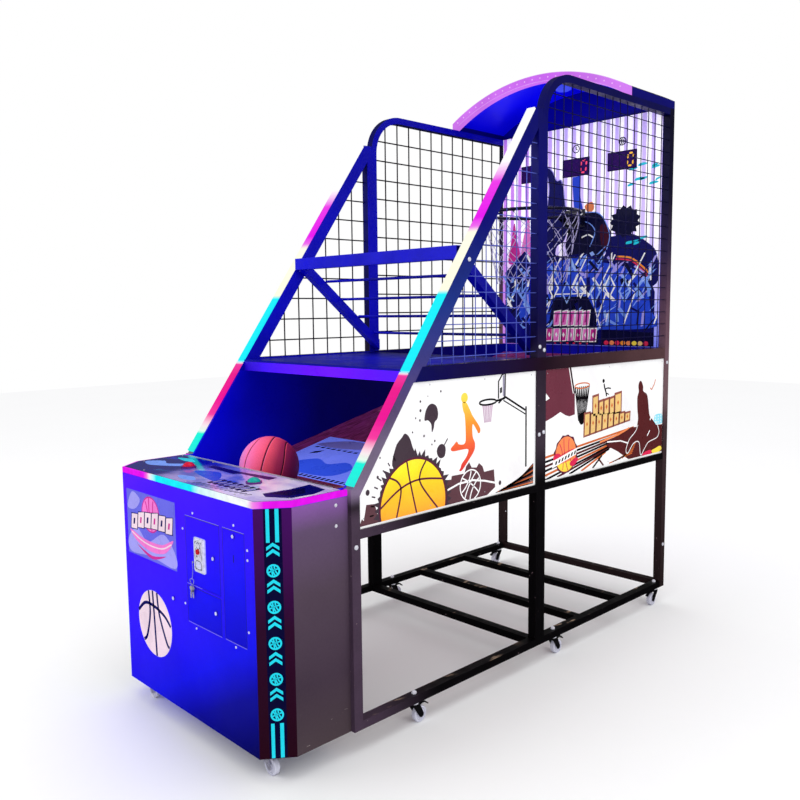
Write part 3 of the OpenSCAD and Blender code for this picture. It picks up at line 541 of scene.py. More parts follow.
def lathe(mesh, centre, axis, profile, steps=24, index=0):
    """Turns a profile of (radius, height along axis) round an axis; it starts and ends on it."""
    axis = axis.normalized()
    lead = axis.orthogonal().normalized()
    third = axis.cross(lead)
    rings = []
    for radius, height in profile:
        base = centre + axis * height
        if radius == 0:
            rings.append([mesh.verts.new(base)])
            continue
        rings.append([mesh.verts.new(base + radius * (lead * math.cos(a) + third * math.sin(a)))
                      for a in turns(steps)])
    for a, b in zip(rings, rings[1:]):
        for k in range(steps):
            m = (k + 1) % steps
            corners = [a[k % len(a)], a[m % len(a)], b[m % len(b)], b[k % len(b)]]
            mesh.faces.new(list(dict.fromkeys(corners))).material_index = index


def screw(mesh, centre, out, radius=3.2):
    """A pan-head screw with a cross recess."""
    r = radius * MM
    lathe(mesh, centre, out, [(0, -0.2 * MM), (r, -0.2 * MM), (r, 0.3 * r), (0.8 * r, 0.55 * r),
                              (0.42 * r, 0.66 * r), (0.34 * r, 0.3 * r), (0, 0.26 * r)], 16)


def knot(mesh, centre, radius, squash, seed):
    """A small uneven ball of cord."""
    made = bmesh.ops.create_icosphere(mesh, subdivisions=2, radius=radius)
    for vert in made["verts"]:
        wobble = 1 + 0.18 * noise.noise(vert.co * (1.6 / radius) + Vector((seed, 0, 0)))
        vert.co = centre + Vector((vert.co.x, vert.co.y, vert.co.z * squash)) * wobble


# ---------------------------------------------------------------- flat artwork

def arc(centre, radius, start=0, end=360, steps=32, squash=1.0):
    """Points on a circle or ellipse, angles in degrees."""
    angles = [math.radians(start + (end - start) * k / steps) for k in range(steps + 1)]
    return [(centre[0] + radius * math.cos(a), centre[1] + radius * squash * math.sin(a)) for a in angles]


def disc(centre, radius, steps=40, squash=1.0):
    return arc(centre, radius, 0, 360, steps, squash)[:-1]


def smooth(points, closed=True, steps=5):
    """A smooth curve through the points."""
    count = len(points)
    line = []
    for i in range(count if closed else count - 1):
        if closed:
            a, b, c, d = (points[(i + k) % count] for k in (-1, 0, 1, 2))
        else:
            a, b, c, d = (points[max(0, min(count - 1, i + k))] for k in (-1, 0, 1, 2))
        for k in range(steps):
            t = k / steps
            line.append(tuple(0.5 * (2 * b[n] + (c[n] - a[n]) * t
                                     + (2 * a[n] - 5 * b[n] + 4 * c[n] - d[n]) * t * t
                                     + (3 * b[n] - a[n] - 3 * c[n] + d[n]) * t ** 3) for n in (0, 1)))
    if not closed:
        line.append(points[-1])
    return line


def splat(centre, radius, spikes, rng, depth=0.25):
    """A ragged round outline."""
    points = []
    for k in range(spikes * 2):
        reach = radius * (1 + (depth * rng.random() if k % 2 else -0.02))
        turn = 2 * math.pi * (k + 0.5 * rng.random()) / (spikes * 2)
        points.append((centre[0] + reach * math.cos(turn), centre[1] + reach * math.sin(turn)))
    return points


def inside_of(edge, point):
    """More than nought to the left of an edge."""
    (ax, ay), (bx, by) = edge
    return (bx - ax) * (point[1] - ay) - (by - ay) * (point[0] - ax)


def cut(points, outline):
    """The part of a shape inside a convex outline that runs anticlockwise."""
    for edge in zip(outline, outline[1:] + outline[:1]):
        kept = []
        for a, b in zip(points, points[1:] + points[:1]):
            da, db = inside_of(edge, a), inside_of(edge, b)
            if da >= 0:
                kept.append(a)
            if (da >= 0) != (db >= 0):
                t = da / (da - db)
                kept.append((a[0] + (b[0] - a[0]) * t, a[1] + (b[1] - a[1]) * t))
        points = kept
    return points


FILM = 0.00012       # thickness of one printed layer
SHORTEST = 0.02      # shorter edges of a shape are dropped, in millimetres


def pairs(numbers):
    """Points from a run of numbers: u, v, u, v ..."""
    return list(zip(numbers[::2], numbers[1::2]))


class Print:
    """Printed film on a flat face: closed shapes in layers, cut to an outline, in millimetres."""

    def __init__(self, name, origin, across, along, out, outline, slot, body=ROOT):
        self.name, self.slot, self.body = name, slot, body
        self.origin, self.across, self.along, self.out = origin, across, along, out
        self.outline = outline
        self.mesh = bmesh.new()
        self.inks = []

    def point(self, uv):
        return self.origin + (self.across * uv[0] + self.along * uv[1]) * MM

    def index(self, name):
        if name not in self.inks:
            self.inks.append(name)
        return self.inks.index(name)

    def fill(self, name, points, layer=1):
        points = cut(list(points), self.outline)
        clean = [p for p, q in zip(points, points[1:] + points[:1]) if math.dist(p, q) > SHORTEST]
        if len(clean) > 2:
            prism(self.mesh, [self.point(p) for p in clean], self.out * FILM * layer, self.index(name))

    def line(self, name, points, width, layer=2, closed=False):
        """A line of even width; each run inside the outline becomes one closed strip."""
        points = list(points) + (list(points[:1]) if closed else [])
        run = []
        for a, b in zip(points, points[1:]):
            low, high = 0.0, 1.0
            for edge in zip(self.outline, self.outline[1:] + self.outline[:1]):
                da, db = inside_of(edge, a), inside_of(edge, b)
                if da < 0 and db < 0:
                    low, high = 1.0, 0.0
                elif da < 0:
                    low = max(low, da / (da - db))
                elif db < 0:
                    high = min(high, da / (da - db))
            if low < high:
                run = run or [(a[0] + (b[0] - a[0]) * low, a[1] + (b[1] - a[1]) * low)]
                run.append((a[0] + (b[0] - a[0]) * high, a[1] + (b[1] - a[1]) * high))
            if run and (high < 1.0 or low >= high):
                self.strip(name, run, width, layer)
                run = []
        if run:
            self.strip(name, run, width, layer)

    def strip(self, name, points, width, layer):
        """A band along the points; a closed run becomes a ring."""
        ring = len(points) > 3 and math.dist(points[0], points[-1]) < 0.01
        if ring:
            points = points[:-1]
        count = len(points)
        left, right = [], []
        for i, here in enumerate(points):
            before = points[i - 1] if ring or i else here
            after = points[(i + 1) % count] if ring or i < count - 1 else here
            dx, dy = after[0] - before[0], after[1] - before[1]
            size = math.hypot(dx, dy) or 1.0
            nx, ny = -dy / size * width / 2, dx / size * width / 2
            left.append((here[0] + nx, here[1] + ny))
            right.append((here[0] - nx, here[1] - ny))
        if not ring:
            self.fill(name, left + right[::-1], layer)
            return
        index, lift = self.index(name), self.out * FILM * layer
        rings = [[self.mesh.verts.new(self.point(p) + h) for p in side]
                 for side, h in ((left, Vector()), (right, Vector()), (right, lift), (left, lift))]
        for a, b in zip(rings, rings[1:] + rings[:1]):
            for k in range(count):
                m = (k + 1) % count
                self.mesh.faces.new((a[k], a[m], b[m], b[k])).material_index = index

    def poly(self, name, layer, *numbers):
        """A shape with straight edges."""
        self.fill(name, pairs(numbers), layer)

    def blob(self, name, layer, *numbers, steps=5):
        """A shape with a smooth edge."""
        self.fill(name, smooth(pairs(numbers), True, steps), layer)

    def stroke(self, name, width, layer, *numbers, closed=False):
        """A line with straight runs."""
        self.line(name, pairs(numbers), width, layer, closed)

    def curve(self, name, width, layer, *numbers, closed=False, steps=5):
        """A smooth line."""
        self.line(name, smooth(pairs(numbers), closed, steps), width, layer, closed)

    def done(self):
        return piece(self.name, self.mesh, [INKS[n] for n in self.inks], self.body, self.slot)


def seams(art, name, centre, radius, width, layer, tilt=0.0):
    """The curved seams of a drawn basketball."""
    c, s = math.cos(math.radians(tilt)), math.sin(math.radians(tilt))

    def turn(points):
        return [(centre[0] + radius * (u * c - v * s), centre[1] + radius * (u * s + v * c))
                for u, v in points]

    shares = [-0.98 + 1.96 * k / 16 for k in range(17)]
    art.line(name, turn([(-0.12 * (1 - t * t), t) for t in shares]), width, layer)
    art.line(name, turn([(t, 0.1 * (1 - t * t)) for t in shares]), width, layer)
    for side in (-1, 1):
        angles = [math.radians(-74 + 148 * k / 16) for k in range(17)]
        line = [(side * (0.72 - 0.4 * math.cos(a)), 0.96 * math.sin(a)) for a in angles]
        art.line(name, turn([(u, v) for u, v in line if math.hypot(u, v) < 0.99]), width, layer)


def side_print(name, side, outline):
    """Artwork on a side panel's outer face, drawn over depth and height."""
    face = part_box("front_panels")[1].x
    origin = Vector((side * face, FRONT_Y, 0))
    return Print(name, origin, Y, Z, X * side, outline, "printed_panel")


def front_panel_art(side, name):
    """A yellow ball over city blocks, a player and a hoop, with ink blots."""
    art = side_print(name, side, [(358, 775), (1307, 775), (1307, 1235), (613, 1235), (358, 881)])
    rng = random.Random(5)
    art.poly("blocks", 1, 783, 774, 784, 868, 810, 866, 813, 879, 883, 878, 893, 904, 910, 917, 924, 895,
             952, 891, 966, 906, 987, 891, 997, 868, 1055, 869, 1063, 799, 1012, 774)
    art.poly("blocks", 1, 358, 774, 372, 800, 380, 792, 392, 844, 430, 841, 452, 774)
    ball, radius = (617, 806), 164
    art.blob("plum_black", 1, 518, 950, 530, 1020, 560, 1050, 575, 1062, 596, 1047, 612, 1010, 630, 960)
    art.fill("plum_black", splat(ball, radius + 12, 52, rng, 0.14), 2)
    art.fill("ball_yellow", disc(ball, radius, 64), 3)
    art.line("seam", disc(ball, radius, 64), 7, 4, closed=True)
    for run in ((582, 966, 598, 889, 629, 774), (452, 817, 548, 872, 643, 892, 768, 877),
                (498, 919, 537, 899, 553, 862, 529, 770), (677, 955, 648, 912, 655, 868, 741, 770)):
        art.curve("seam", 7, 5, *run, steps=8)
    art.blob("plum_black", 1, 672, 1098, 678, 1130, 695, 1150, 715, 1153, 734, 1142, 742, 1118, 738, 1098,
             724, 1086, 719, 1066, 709, 1052, 706, 1080, 690, 1096)
    art.blob("plum_black", 1, 734, 983, 744, 999, 760, 1004, 776, 996, 781, 980, 775, 958, 756, 952,
             740, 962)
    art.stroke("plum_black", 5, 1, 774, 999, 792, 1020)
    for u, v, r in ((652, 1134, 5), (652, 1166, 4), (757, 1194, 4), (669, 1043, 4), (649, 1100, 4),
                    (724, 1019, 4), (709, 1008, 3), (457, 993, 3), (445, 929, 5), (399, 884, 9),
                    (1092, 811, 8), (628, 1110, 3), (612, 1062, 3), (690, 1182, 2)):
        art.fill("plum_black", disc((u, v), r, 12, 1.15))
    for k in range(9):
        turn = math.radians(118 + 9 * k)
        near, far = radius + 24 + 6 * rng.random(), radius + 34 + 14 * rng.random()
        art.stroke("plum_black", 5, 1, ball[0] + near * math.cos(turn), ball[1] + near * math.sin(turn),
                   ball[0] + far * math.cos(turn), ball[1] + far * math.sin(turn))
    art.blob("player_fire", 2, 872, 1142, 877, 1112, 885, 1096, 890, 1040, 887, 992, 853, 991, 841, 1003,
             824, 992, 808, 979, 820, 969, 862, 969, 900, 968, 905, 958, 893, 938, 868, 916, 862, 903,
             854, 893, 866, 890, 880, 900, 902, 920, 938, 956, 943, 985, 930, 1012, 930, 1058, 954, 1032,
             962, 1020, 973, 1024, 971, 1042, 944, 1074, 928, 1092, 908, 1124, 893, 1142, steps=4)
    art.fill("player_fire", disc((884, 1160), 19, 24), 2)
    art.line("black", arc((1019, 1133), 50, 0, 360, 32, 0.2)[:-1], 7, 4, closed=True)
    art.stroke("black", 7, 2, 1082, 1141, 1082, 1207, 1105, 1233, 1124, 1233, 1121, 1138)
    art.poly("grey", 1, 1108, 1150, 1119, 1146, 1119, 1230, 1108, 1228)
    art.poly("black", 2, 1091, 1160, 1103, 1164, 1103, 1186, 1091, 1180)
    art.stroke("black", 8, 2, 1082, 1124, 1121, 1146, 1251, 1082)
    art.stroke("black", 5, 2, 1112, 1132, 1251, 1066)
    art.stroke("black", 8, 2, 1066, 1133, 1121, 1140)
    art.stroke("black", 9, 3, 1256, 1096, 1257, 852)
    for k in range(6):
        top, low = 988 + 11 * k, 1000 + 7 * k
        art.stroke("net_lilac", 5.5, 1, top, 1126, low, 1056)
        art.stroke("net_lilac", 5.5, 2, 1046 - 11 * k, 1124, 1034 - 7 * k, 1058)
    art.stroke("white", 7, 3, 790, 830, 850, 844, 930, 846, 1000, 833, 1062, 816)
    art.line("white", disc((917, 829), 58, 48), 5, 4, closed=True)
    seams(art, "white", (917, 829), 57, 5, 5, -35)
    for k in range(15):
        art.stroke(("black", "rust", "blocks", "black")[k % 4], 5.2, 2, 1066 + 11 * k, 775 + 2.5 * k,
                   1322, 776 + 6.4 * k)
    art.done()


def rear_panel_art(side, name):
    """A hoop, stands and court lines with a ball badge and a seated figure."""
    art = side_print(name, side, [(1384, 776), (2361, 776), (2361, 1234), (1384, 1234)])
    art.poly("wine", 1, 1383, 1235, 1569, 1235, 1598, 1127, 1600, 1031, 1560, 1026, 1530, 1034, 1493, 1051,
             1440, 1034, 1383, 1020)
    art.poly("white", 2, 1383, 1143, 1416, 1115, 1383, 1104)
    art.stroke("black", 8, 2, 1563, 1236, 1596, 1122)
    art.stroke("white", 5, 3, 1553, 1236, 1586, 1122)
    art.line("rust", arc((1654, 1151), 56, 0, 360, 36, 0.2)[:-1], 5, 4, closed=True)
    for k in range(8):
        top, low = 1600 + 15.5 * k, 1636 + 5 * k
        art.stroke("black", 6, 3, top, 1148, (top + low) / 2 + 5, 1075, low, 992)
        art.stroke("black", 6, 2, 1708 - 15.5 * k, 1147, 1664 - 5 * k, 1000)
    art.blob("black", 4, 1634, 996, 1646, 982, 1664, 984, 1668, 996, 1650, 1000)
    for k in range(11):
        start = 1383 if k < 6 else 1383 + 90 * (k - 5)
        height = 870 - 19 * k if k < 6 else 776
        reach = 2090 - 30 * k
        art.stroke(("rust", "black", "dark_wine", "black")[k % 4], 9.5, 1, start, height,
                   reach, 924 - 11 * k)
    art.poly("dark_wine", 2, 2030, 916, 2068, 926, 2140, 920, 2363, 910, 2363, 775, 2050, 775, 1950, 826,
             1850, 866)
    art.stroke("white", 6, 3, 1860, 880, 1975, 872, 2046, 852, 2100, 848)
    art.stroke("orange", 9, 2, 1800, 886, 1960, 905, 2050, 924)
    for k in range(6):
        art.stroke("rust", 5, 3, 1880 + 28 * k, 780 + 2 * k, 2080 + 6 * k, 802 + 9 * k)
    bars = [(1742, 1100, 42), (1792, 1074, 34), (1834, 1078, 38), (1880, 1082, 36), (1924, 1098, 52)]
    for u, top, wide in bars:
        art.poly("brown", 4, u - 8, 1000, u + wide + 3, 1005, u + wide + 3, top + 7, u - 8, top + 1)
        art.poly("tan", 5, u, 1008, u + wide - 6, 1012, u + wide - 6, top - 4, u, top - 9)
        art.fill("rust", disc((u + wide / 2 - 3, (top + 1006) / 2), 8, 4, 1.6), 6)
    for k in range(8):
        u = 1676 + 48 * k
        low, high = 930 + 4.5 * k, 1030 - 4 * k
        art.poly("brown", 4, u - 9, low - 8, u + 44, low - 4, u + 47, high + 3, u - 6, high + 1)
        art.poly("tan", 5, u, low, u + 35, low + 4, u + 37, high - 6, u + 3, high - 8)
        art.fill("rust", disc((u + 18, (low + high) / 2 - 1), 7, 4, 1.6), 6)
    emblem = (1536, 866)
    art.fill("seam", splat(emblem, 82, 12, random.Random(2), 0.1), 3)
    art.fill("orange", disc(emblem, 76, 48), 4)
    art.fill("yellow", cut(disc(emblem, 74, 48), [(1400, 700), (1700, 700), (1700, 846), (1400, 820)]), 5)
    seams(art, "crimson", emblem, 74, 4.5, 6, 12)
    art.blob("crimson", 7, 1444, 858, 1462, 876, 1492, 872, 1500, 850, 1470, 838)
    art.blob("crimson", 7, 1566, 826, 1606, 842, 1628, 834, 1604, 812, 1574, 810)
    art.poly("white", 8, 1436, 818, 1446, 850, 1618, 884, 1612, 856)
    for k in range(7):
        u, v = 1456 + 23 * k, 829 + 4.6 * k
        art.poly("black", 9, u, v, u + 12, v + 3, u + 18, v + 18, u + 6, v + 15)
    art.blob("dark_wine", 4, 2146, 1139, 2160, 1128, 2170, 1108, 2172, 1088, 2206, 1070, 2220, 1034,
             2226, 1000, 2238, 962, 2270, 938, 2300, 912, 2322, 880, 2314, 852, 2262, 836, 2216, 828,
             2190, 800, 2160, 780, 2156, 812, 2148, 838, 2110, 848, 2070, 838, 2032, 806, 2026, 832,
             2060, 868, 2110, 896, 2120, 926, 2128, 962, 2120, 1010, 2118, 1062, 2130, 1088, 2126, 1112,
             2132, 1132, steps=4)
    art.curve("white", 4, 5, 2128, 930, 2104, 900, 2050, 868, 2024, 824, 2040, 806, 2090, 846, 2140, 846,
              2158, 782, 2190, 806, 2230, 836, 2310, 850, 2330, 880, 2300, 930)
    art.stroke("white", 6, 5, 2216, 868, 2240, 892)
    art.stroke("white", 7, 5, 2240, 942, 2250, 956)
    art.blob("crimson", 6, 2172, 782, 2200, 792, 2250, 796, 2262, 780, 2230, 768, 2190, 768)
    art.blob("yellow", 6, 2262, 790, 2300, 798, 2344, 804, 2358, 788, 2330, 776, 2280, 772)
    art.curve("black", 9, 2, 1827, 1147, 1834, 1126, 1844, 1108, 1849, 1089)
    art.fill("black", disc((1823, 1160), 9, 20), 2)
    art.stroke("black", 6, 2, 1832, 1122, 1860, 1126, 1884, 1122)
    art.stroke("black", 5, 2, 1846, 1104, 1868, 1096)
    art.stroke("rust", 6, 2, 2237, 1098, 2252, 1090, 2274, 1114, 2286, 1136)
    art.blob("pale_blue", 1, 2278, 930, 2290, 962, 2344, 964, 2360, 950, 2360, 918, 2290, 916)
    for k in range(9):
        art.fill("white", disc((2294 + 26 * (k % 3), 926 + 14 * (k // 3)), 4, 10), 2)
    art.done()


def backboard_art():
    """Generic players, shards and balls, printed behind the mesh."""
    low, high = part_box("backboard")
    face = low.y
    wide = high.x / MM
    art = Print("backboard_print", Vector((0, face, 0)), X, Z, -Y,
                [(-wide, 1291), (wide, 1291), (wide, 2423), (-wide, 2423)], "backboard")
    rng = random.Random(11)
    art.blob("navy", 1, -210, 1560, -200, 1800, -186, 1980, -170, 2120, -186, 2228, -150, 2215, -120, 2160,
             -86, 2150, -60, 2010, -40, 1930, -70, 1840, -120, 1800, -130, 1640)
    art.blob("deep_navy", 2, -40, 1900, -20, 1985, 60, 1975, 150, 1960, 205, 1860, 190, 1780, 150, 1740,
             60, 1700, -20, 1715, -60, 1800)
    art.blob("blue", 3, -18, 2166, 14, 2172, 28, 2150, 30, 2060, 44, 1990, 0, 1985, -14, 2060)
    art.blob("lilac", 4, -22, 2190, 0, 2212, 22, 2196, 26, 2170, -20, 2166)
    art.blob("orange", 3, 56, 2010, 100, 2028, 112, 1990, 80, 1976)
    art.curve("lilac", 5, 5, -200, 1800, -186, 1980, -168, 2120, -186, 2228, -150, 2215, -120, 2160,
              -86, 2150, -60, 2010)
    art.curve("sky", 5, 5, -30, 1985, 60, 1978, 150, 1960, 205, 1860, 190, 1780)
    art.curve("sky", 5, 5, -20, 1900, 60, 1930, 120, 1880, 90, 1800)
    art.curve("white", 7, 6, 40, 1850, 80, 1862, 110, 1846)
    art.blob("magenta", 2, -440, 1740, -420, 1860, -400, 1960, -380, 1860, -360, 1760)
    art.blob("pink", 2, -350, 1780, -330, 1900, -300, 1990, -290, 1880, -270, 1780)
    art.blob("crimson", 3, -300, 1800, -270, 1822, -240, 1800, -270, 1786)
    hair = []
    for k in range(26):
        wide, tall = (88, 82) if k % 2 else (68 + 6 * rng.random(), 62 + 8 * rng.random())
        turn = 2 * math.pi * k / 26
        hair.append((292 + wide * math.cos(turn), 1912 + tall * math.sin(turn)))
    art.fill("deep_navy", hair, 3)
    art.blob("navy", 2, 190, 1820, 250, 1846, 330, 1850, 420, 1800, 470, 1740, 470, 1600, 300, 1560,
             200, 1640)
    art.blob("maroon", 4, 150, 1900, 190, 1900, 214, 1850, 190, 1780, 160, 1800)
    art.curve("amber", 9, 5, 250, 1742, 330, 1730, 400, 1680, 440, 1640)
    art.curve("crimson", 7, 5, 244, 1730, 330, 1716, 395, 1666, 430, 1626)
    for k in range(13):
        u, v = 300 + 160 * rng.random(), (2060, 2130, 1790)[k % 3] + 45 * rng.random()
        art.blob("cyan", 4, u, v, u + 40 * rng.random() + 12, v + 6, u + 34, v + 15, u + 4, v + 12)
    art.poly("navy", 3, -462, 1291, 462, 1291, 462, 1560, 420, 1660, 320, 1700, 250, 1760, 130, 1740,
             60, 1770, -90, 1760, -180, 1790, -250, 1740, -330, 1800, -462, 1690)
    art.blob("blue", 4, -300, 1400, -330, 1560, -250, 1700, -60, 1740, 60, 1752, 150, 1720, 290, 1690,
             400, 1640, 440, 1480, 430, 1380)
    for k in range(260):
        u, v = -460 + 900 * rng.random(), 1360 + 400 * rng.random()
        if v > 1720 + 60 * math.sin(u / 60) - max(0.0, u - 250) * 0.4:
            continue
        upright = k % 4 == 0
        tall, thick = 26 + 60 * rng.random(), 7 + 15 * rng.random()
        lean = (6 if upright else 34 + 20 * rng.random()) * (-1 if k % 3 == 0 else 1)
        name = ("sky", "deep_navy", "sky", "white", "lilac", "navy", "ice")[k % 7]
        art.poly(name, 5 + k * 0.015, u, v, u + thick, v + 4, u + thick + lean, v + tall,
                 u + lean, v + tall - 8)
    for k in range(7):
        u, v = -219 + 86 * k, 1567 + 26 * (k % 2)
        art.line(("ice", "white")[k % 2], disc((u, v), 30, 4, 1.8), 11, 9.2, closed=True)
    for k in range(5):
        u = -200 + 165 * k
        art.stroke("white", 7, 8, u, 1400, u + 60, 1560, u + 20, 1590, u + 110, 1752)
    art.stroke("white", 6, 8, -180, 1500, -120, 1560, 100, 1560, 160, 1380)
    art.poly("deep_navy", 8, -150, 1465, -120, 1545, 80, 1545, 130, 1465, 150, 1300, -180, 1300)
    for k in range(5):
        u = -132 + 46 * k
        art.poly("white", 9, u - 4, 1388, u + 40, 1392, u + 50, 1476, u + 4, 1470)
        art.poly("pink", 10, u + 1, 1393, u + 35, 1397, u + 43, 1470, u + 8, 1465)
        art.poly("magenta", 11, u + 12, 1408, u + 24, 1410, u + 32, 1454, u + 20, 1452)
    for k in range(7):
        u = -178 + 46 * k
        art.poly("white", 9, u - 4, 1306, u + 38, 1308, u + 44, 1382, u + 2, 1380)
        art.poly(("magenta", "pink")[k % 2], 10, u + 1, 1311, u + 33, 1313, u + 38, 1376, u + 7, 1374)
        art.fill("white", disc((u + 20, 1343), 8, 4, 1.8), 11)
    art.poly("deep_navy", 8, 165, 1291, 462, 1291, 462, 1360, 165, 1372)
    for k, name in enumerate("crimson orange crimson amber orange yellow tan crimson".split()):
        art.fill(name, disc((196 + 32 * k, 1306), 14, 24, 0.8), 9)
    for k in range(6):
        art.fill("crimson", disc((-120 + 40 * k, 1299), 7, 16, 0.7), 12)
    for x in (-270, 0, 270):
        display_mark(art, x)
    art.done()


def display_mark(art, x):
    """A plain sign above each display: a star, a clock face and a ball."""
    centre = (x, 2306)
    if x < 0:
        points = [(centre[0] + (22 if k % 2 == 0 else 9) * math.sin(math.pi * k / 5),
                   centre[1] + (22 if k % 2 == 0 else 9) * math.cos(math.pi * k / 5)) for k in range(10)]
        art.fill("deep_navy", points, 2)
        return
    art.line("deep_navy", disc(centre, 19, 32), 5, 2, closed=True)
    if x == 0:
        art.stroke("deep_navy", 5, 3, x, 2319, x, 2306, x + 9, 2300)
    else:
        seams(art, "deep_navy", centre, 18, 4, 3)


def cabinet_art():
    """Stickers on the cabinet's front face, and painted highlights along the door edges."""
    art = Print("cabinet_front_print", Vector((0, FRONT_Y, 0)), X, Z, -Y,
                [(-428, 90), (428, 90), (428, 884), (-428, 884)], "printed_panel")
    art.poly("decal", 1, -403, 584, -44, 584, -44, 829, -403, 829)
    art.blob("decal_haze", 2, -400, 640, -330, 690, -250, 650, -130, 700, -50, 640, -60, 590, -230, 600,
             -380, 590)
    art.blob("decal_haze", 2, -398, 760, -360, 822, -300, 800, -340, 760)
    ball = (-222, 756)
    art.fill("pink", disc(ball, 64, 48), 3)
    art.line("magenta", disc(ball, 64, 48), 5, 4, closed=True)
    seams(art, "magenta", ball, 62, 6, 5, 8)
    for k in range(6):
        u, v = -374 + 52 * k, 692 + 5 * k - 1.6 * (k - 2.5) ** 2
        block = [(u, v), (u + 45, v + 3), (u + 53, v + 60 + 4 * (k % 2)), (u + 8, v + 56)]
        art.line("navy", block, 9, 6, closed=True)
        art.fill("disc", block, 7)
        art.poly(("navy", "magenta")[k % 2], 8, u + 17, v + 18, u + 29, v + 19, u + 34, v + 42,
                 u + 22, v + 41)
    art.blob("pink", 6, -384, 676, -300, 660, -222, 655, -140, 660, -62, 690, -120, 634, -222, 618,
             -330, 638)
    art.curve("disc", 5, 7, -372, 668, -300, 648, -222, 640, -140, 646, -76, 674)
    art.blob("magenta", 6, -330, 626, -222, 604, -118, 622, -222, 592)
    badge = (-222, 349)
    art.fill("disc", disc(badge, 123, 72), 1)
    for run in ((-232, 471, -224, 360, -216, 227), (-262, 465, -256, 380, -284, 290, -310, 266),
                (-200, 470, -186, 390, -140, 300, -120, 284),
                (-344, 372, -290, 412, -222, 414, -150, 396, -106, 366)):
        art.curve("navy", 12, 2, *run, steps=8)
    # Thin pale lines along the doors' edges: painted highlights, not print.
    for low, high, v in ((24, 234, 425.2), (24, 120, 561.2), (256, 378, 427.2),
                         (24, 234, 798.6), (256, 378, 798.6)):
        art.stroke("painted_edge_highlight", 1.5, 1, low, v, high, v)
    art.done()


def chamfer_art(side):
    """Racing stripes with balls and arrows down the chamfered corner."""
    foot, turn = Vector((side * 430 * MM, FRONT_Y, 0)), Vector((side * 70, 95, 0)).normalized()
    out = Vector((side * 95, -70, 0)).normalized()
    art = Print("corner_print_" + ("right" if side > 0 else "left"), foot, turn, Z, out,
                [(1, 84), (117, 84), (117, 884), (1, 884)], "printed_panel")
    art.poly("deep_navy", 1, 31, 84, 87, 84, 87, 884, 31, 884)
    for low, high in ((84, 198), (779, 884)):
        art.poly("cyan", 2, 38, low, 49, low, 49, high, 38, high)
        art.poly("cyan", 2, 66, low, 78, low, 78, high, 66, high)
    for k in range(10):
        middle = 226 + 58 * k
        if k % 2:
            for shift in (-14, 6):
                v = middle + shift
                art.poly("cyan", 2, 38, v, 58, v + 14, 78, v, 78, v + 11, 58, v + 25, 38, v + 11)
        else:
            art.line("cyan", disc((58, middle), 18, 40), 6, 2, closed=True)
            seams(art, "cyan", (58, middle), 17, 4.5, 3, 20)
    art.done()


def deck_art():
    """Bars and blocks printed on the control deck."""
    art = Print("deck_print", Vector((0, FRONT_Y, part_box("deck")[1].z)), X, Y, Z,
                [(-424, 12), (424, 12), (486, 100), (486, 296), (-486, 296), (-486, 100)], "deck_print")
    art.poly("navy", 1, -178, 214, 10, 206, 24, 228, 190, 232, 182, 274, -10, 246, -186, 248)
    art.blob("blue", 1, -150, 150, -60, 190, 20, 150, 60, 120, 130, 140, 110, 90, 20, 96, -90, 120)
    for k in range(7):
        u = 60 + 34 * k
        art.poly("deep_navy", 2, u, 66, u + 24, 62, u + 36, 128, u + 12, 132)
        art.poly("lilac", 3, u + 10, 84, u + 18, 82, u + 24, 112, u + 16, 114)
    for k in range(12):
        art.stroke("deep_navy", 7, 2, 40 + 26 * k, 20 + 2 * k, 54 + 26 * k, 50 + k)
    art.poly("navy", 1, 352, 92, 400, 70, 470, 116, 478, 200, 452, 268, 352, 282, 364, 190)
    art.poly("deep_navy", 2, 372, 110, 440, 130, 448, 190, 384, 236)
    art.blob("sky", 1, -470, 120, -420, 170, -360, 150, -300, 190, -270, 160, -340, 110, -400, 90)
    art.blob("cyan", 1, -440, 240, -380, 262, -310, 240, -360, 224)
    art.blob("sky", 1, -120, 60, -60, 84, 0, 56, -50, 36)
    for k in range(5):
        art.stroke("grey", 3, 2, -250 + 120 * k, 290, -170 + 120 * k, 290)
    art.done()


def ramp_art():
    """The sheet on the ramp, with smudges and a broken line of marks."""
    low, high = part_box("ball_ramp")
    slope = math.atan2(high.z - low.z - 0.012, high.y - low.y)
    along = Vector((0, math.cos(slope), math.sin(slope)))
    out = Vector((0, -math.sin(slope), math.cos(slope)))
    foot = Vector((0, low.y, high.z - (high.y - low.y) * math.tan(slope)))
    art = Print("ramp_print", foot, X, along, out,
                [(-376, 300), (376, 300), (376, 690), (-376, 690)], "printed_panel")
    art.poly("ramp_sheet", 1, -375, 300, 375, 300, 375, 690, -375, 690)
    art.blob("lilac", 2, -360, 600, -200, 680, 40, 660, 200, 684, 360, 620, 240, 600, 0, 620, -200, 590)
    art.blob("ramp_blue", 2, -290, 400, -200, 470, -100, 440, -20, 480, 60, 430, 20, 350, -110, 330,
             -230, 340)
    art.blob("ramp_blue", 2, 120, 400, 220, 450, 320, 420, 300, 350, 180, 340)
    for k in range(18):
        u = -340 + 36 * k
        art.poly("deep_navy", 3, u, 566 + 3 * (k % 3), u + 22, 570, u + 26, 586, u + 4, 580)
    art.poly("deep_navy", 3, -300, 500, -262, 520, -250, 552, -290, 530)
    for k in range(24):
        art.poly("deep_navy", 3, -330 + 28 * k, 308, -314 + 28 * k, 308, -308 + 28 * k, 326,
                 -324 + 28 * k, 326)
    art.done()


# ---------------------------------------------------------------- built pieces

CELLS = {-1: (12, 12), 1: (16, 19)}      # mesh cells along and up the tower, left and right
REAR_WIRE = {-1: 0.0032, 1: 0.0021}      # wire radii
FRONT_WIRE = {-1: 0.0030, 1: 0.0018}
SLANT_WIRE = 0.0024
WIRE_STEP = 0.0017                       # wires that cross lie this far out and in
WIRE_BOW = 0.0005
CORNER = 0.160                           # radius of the tower frame's rounded corner


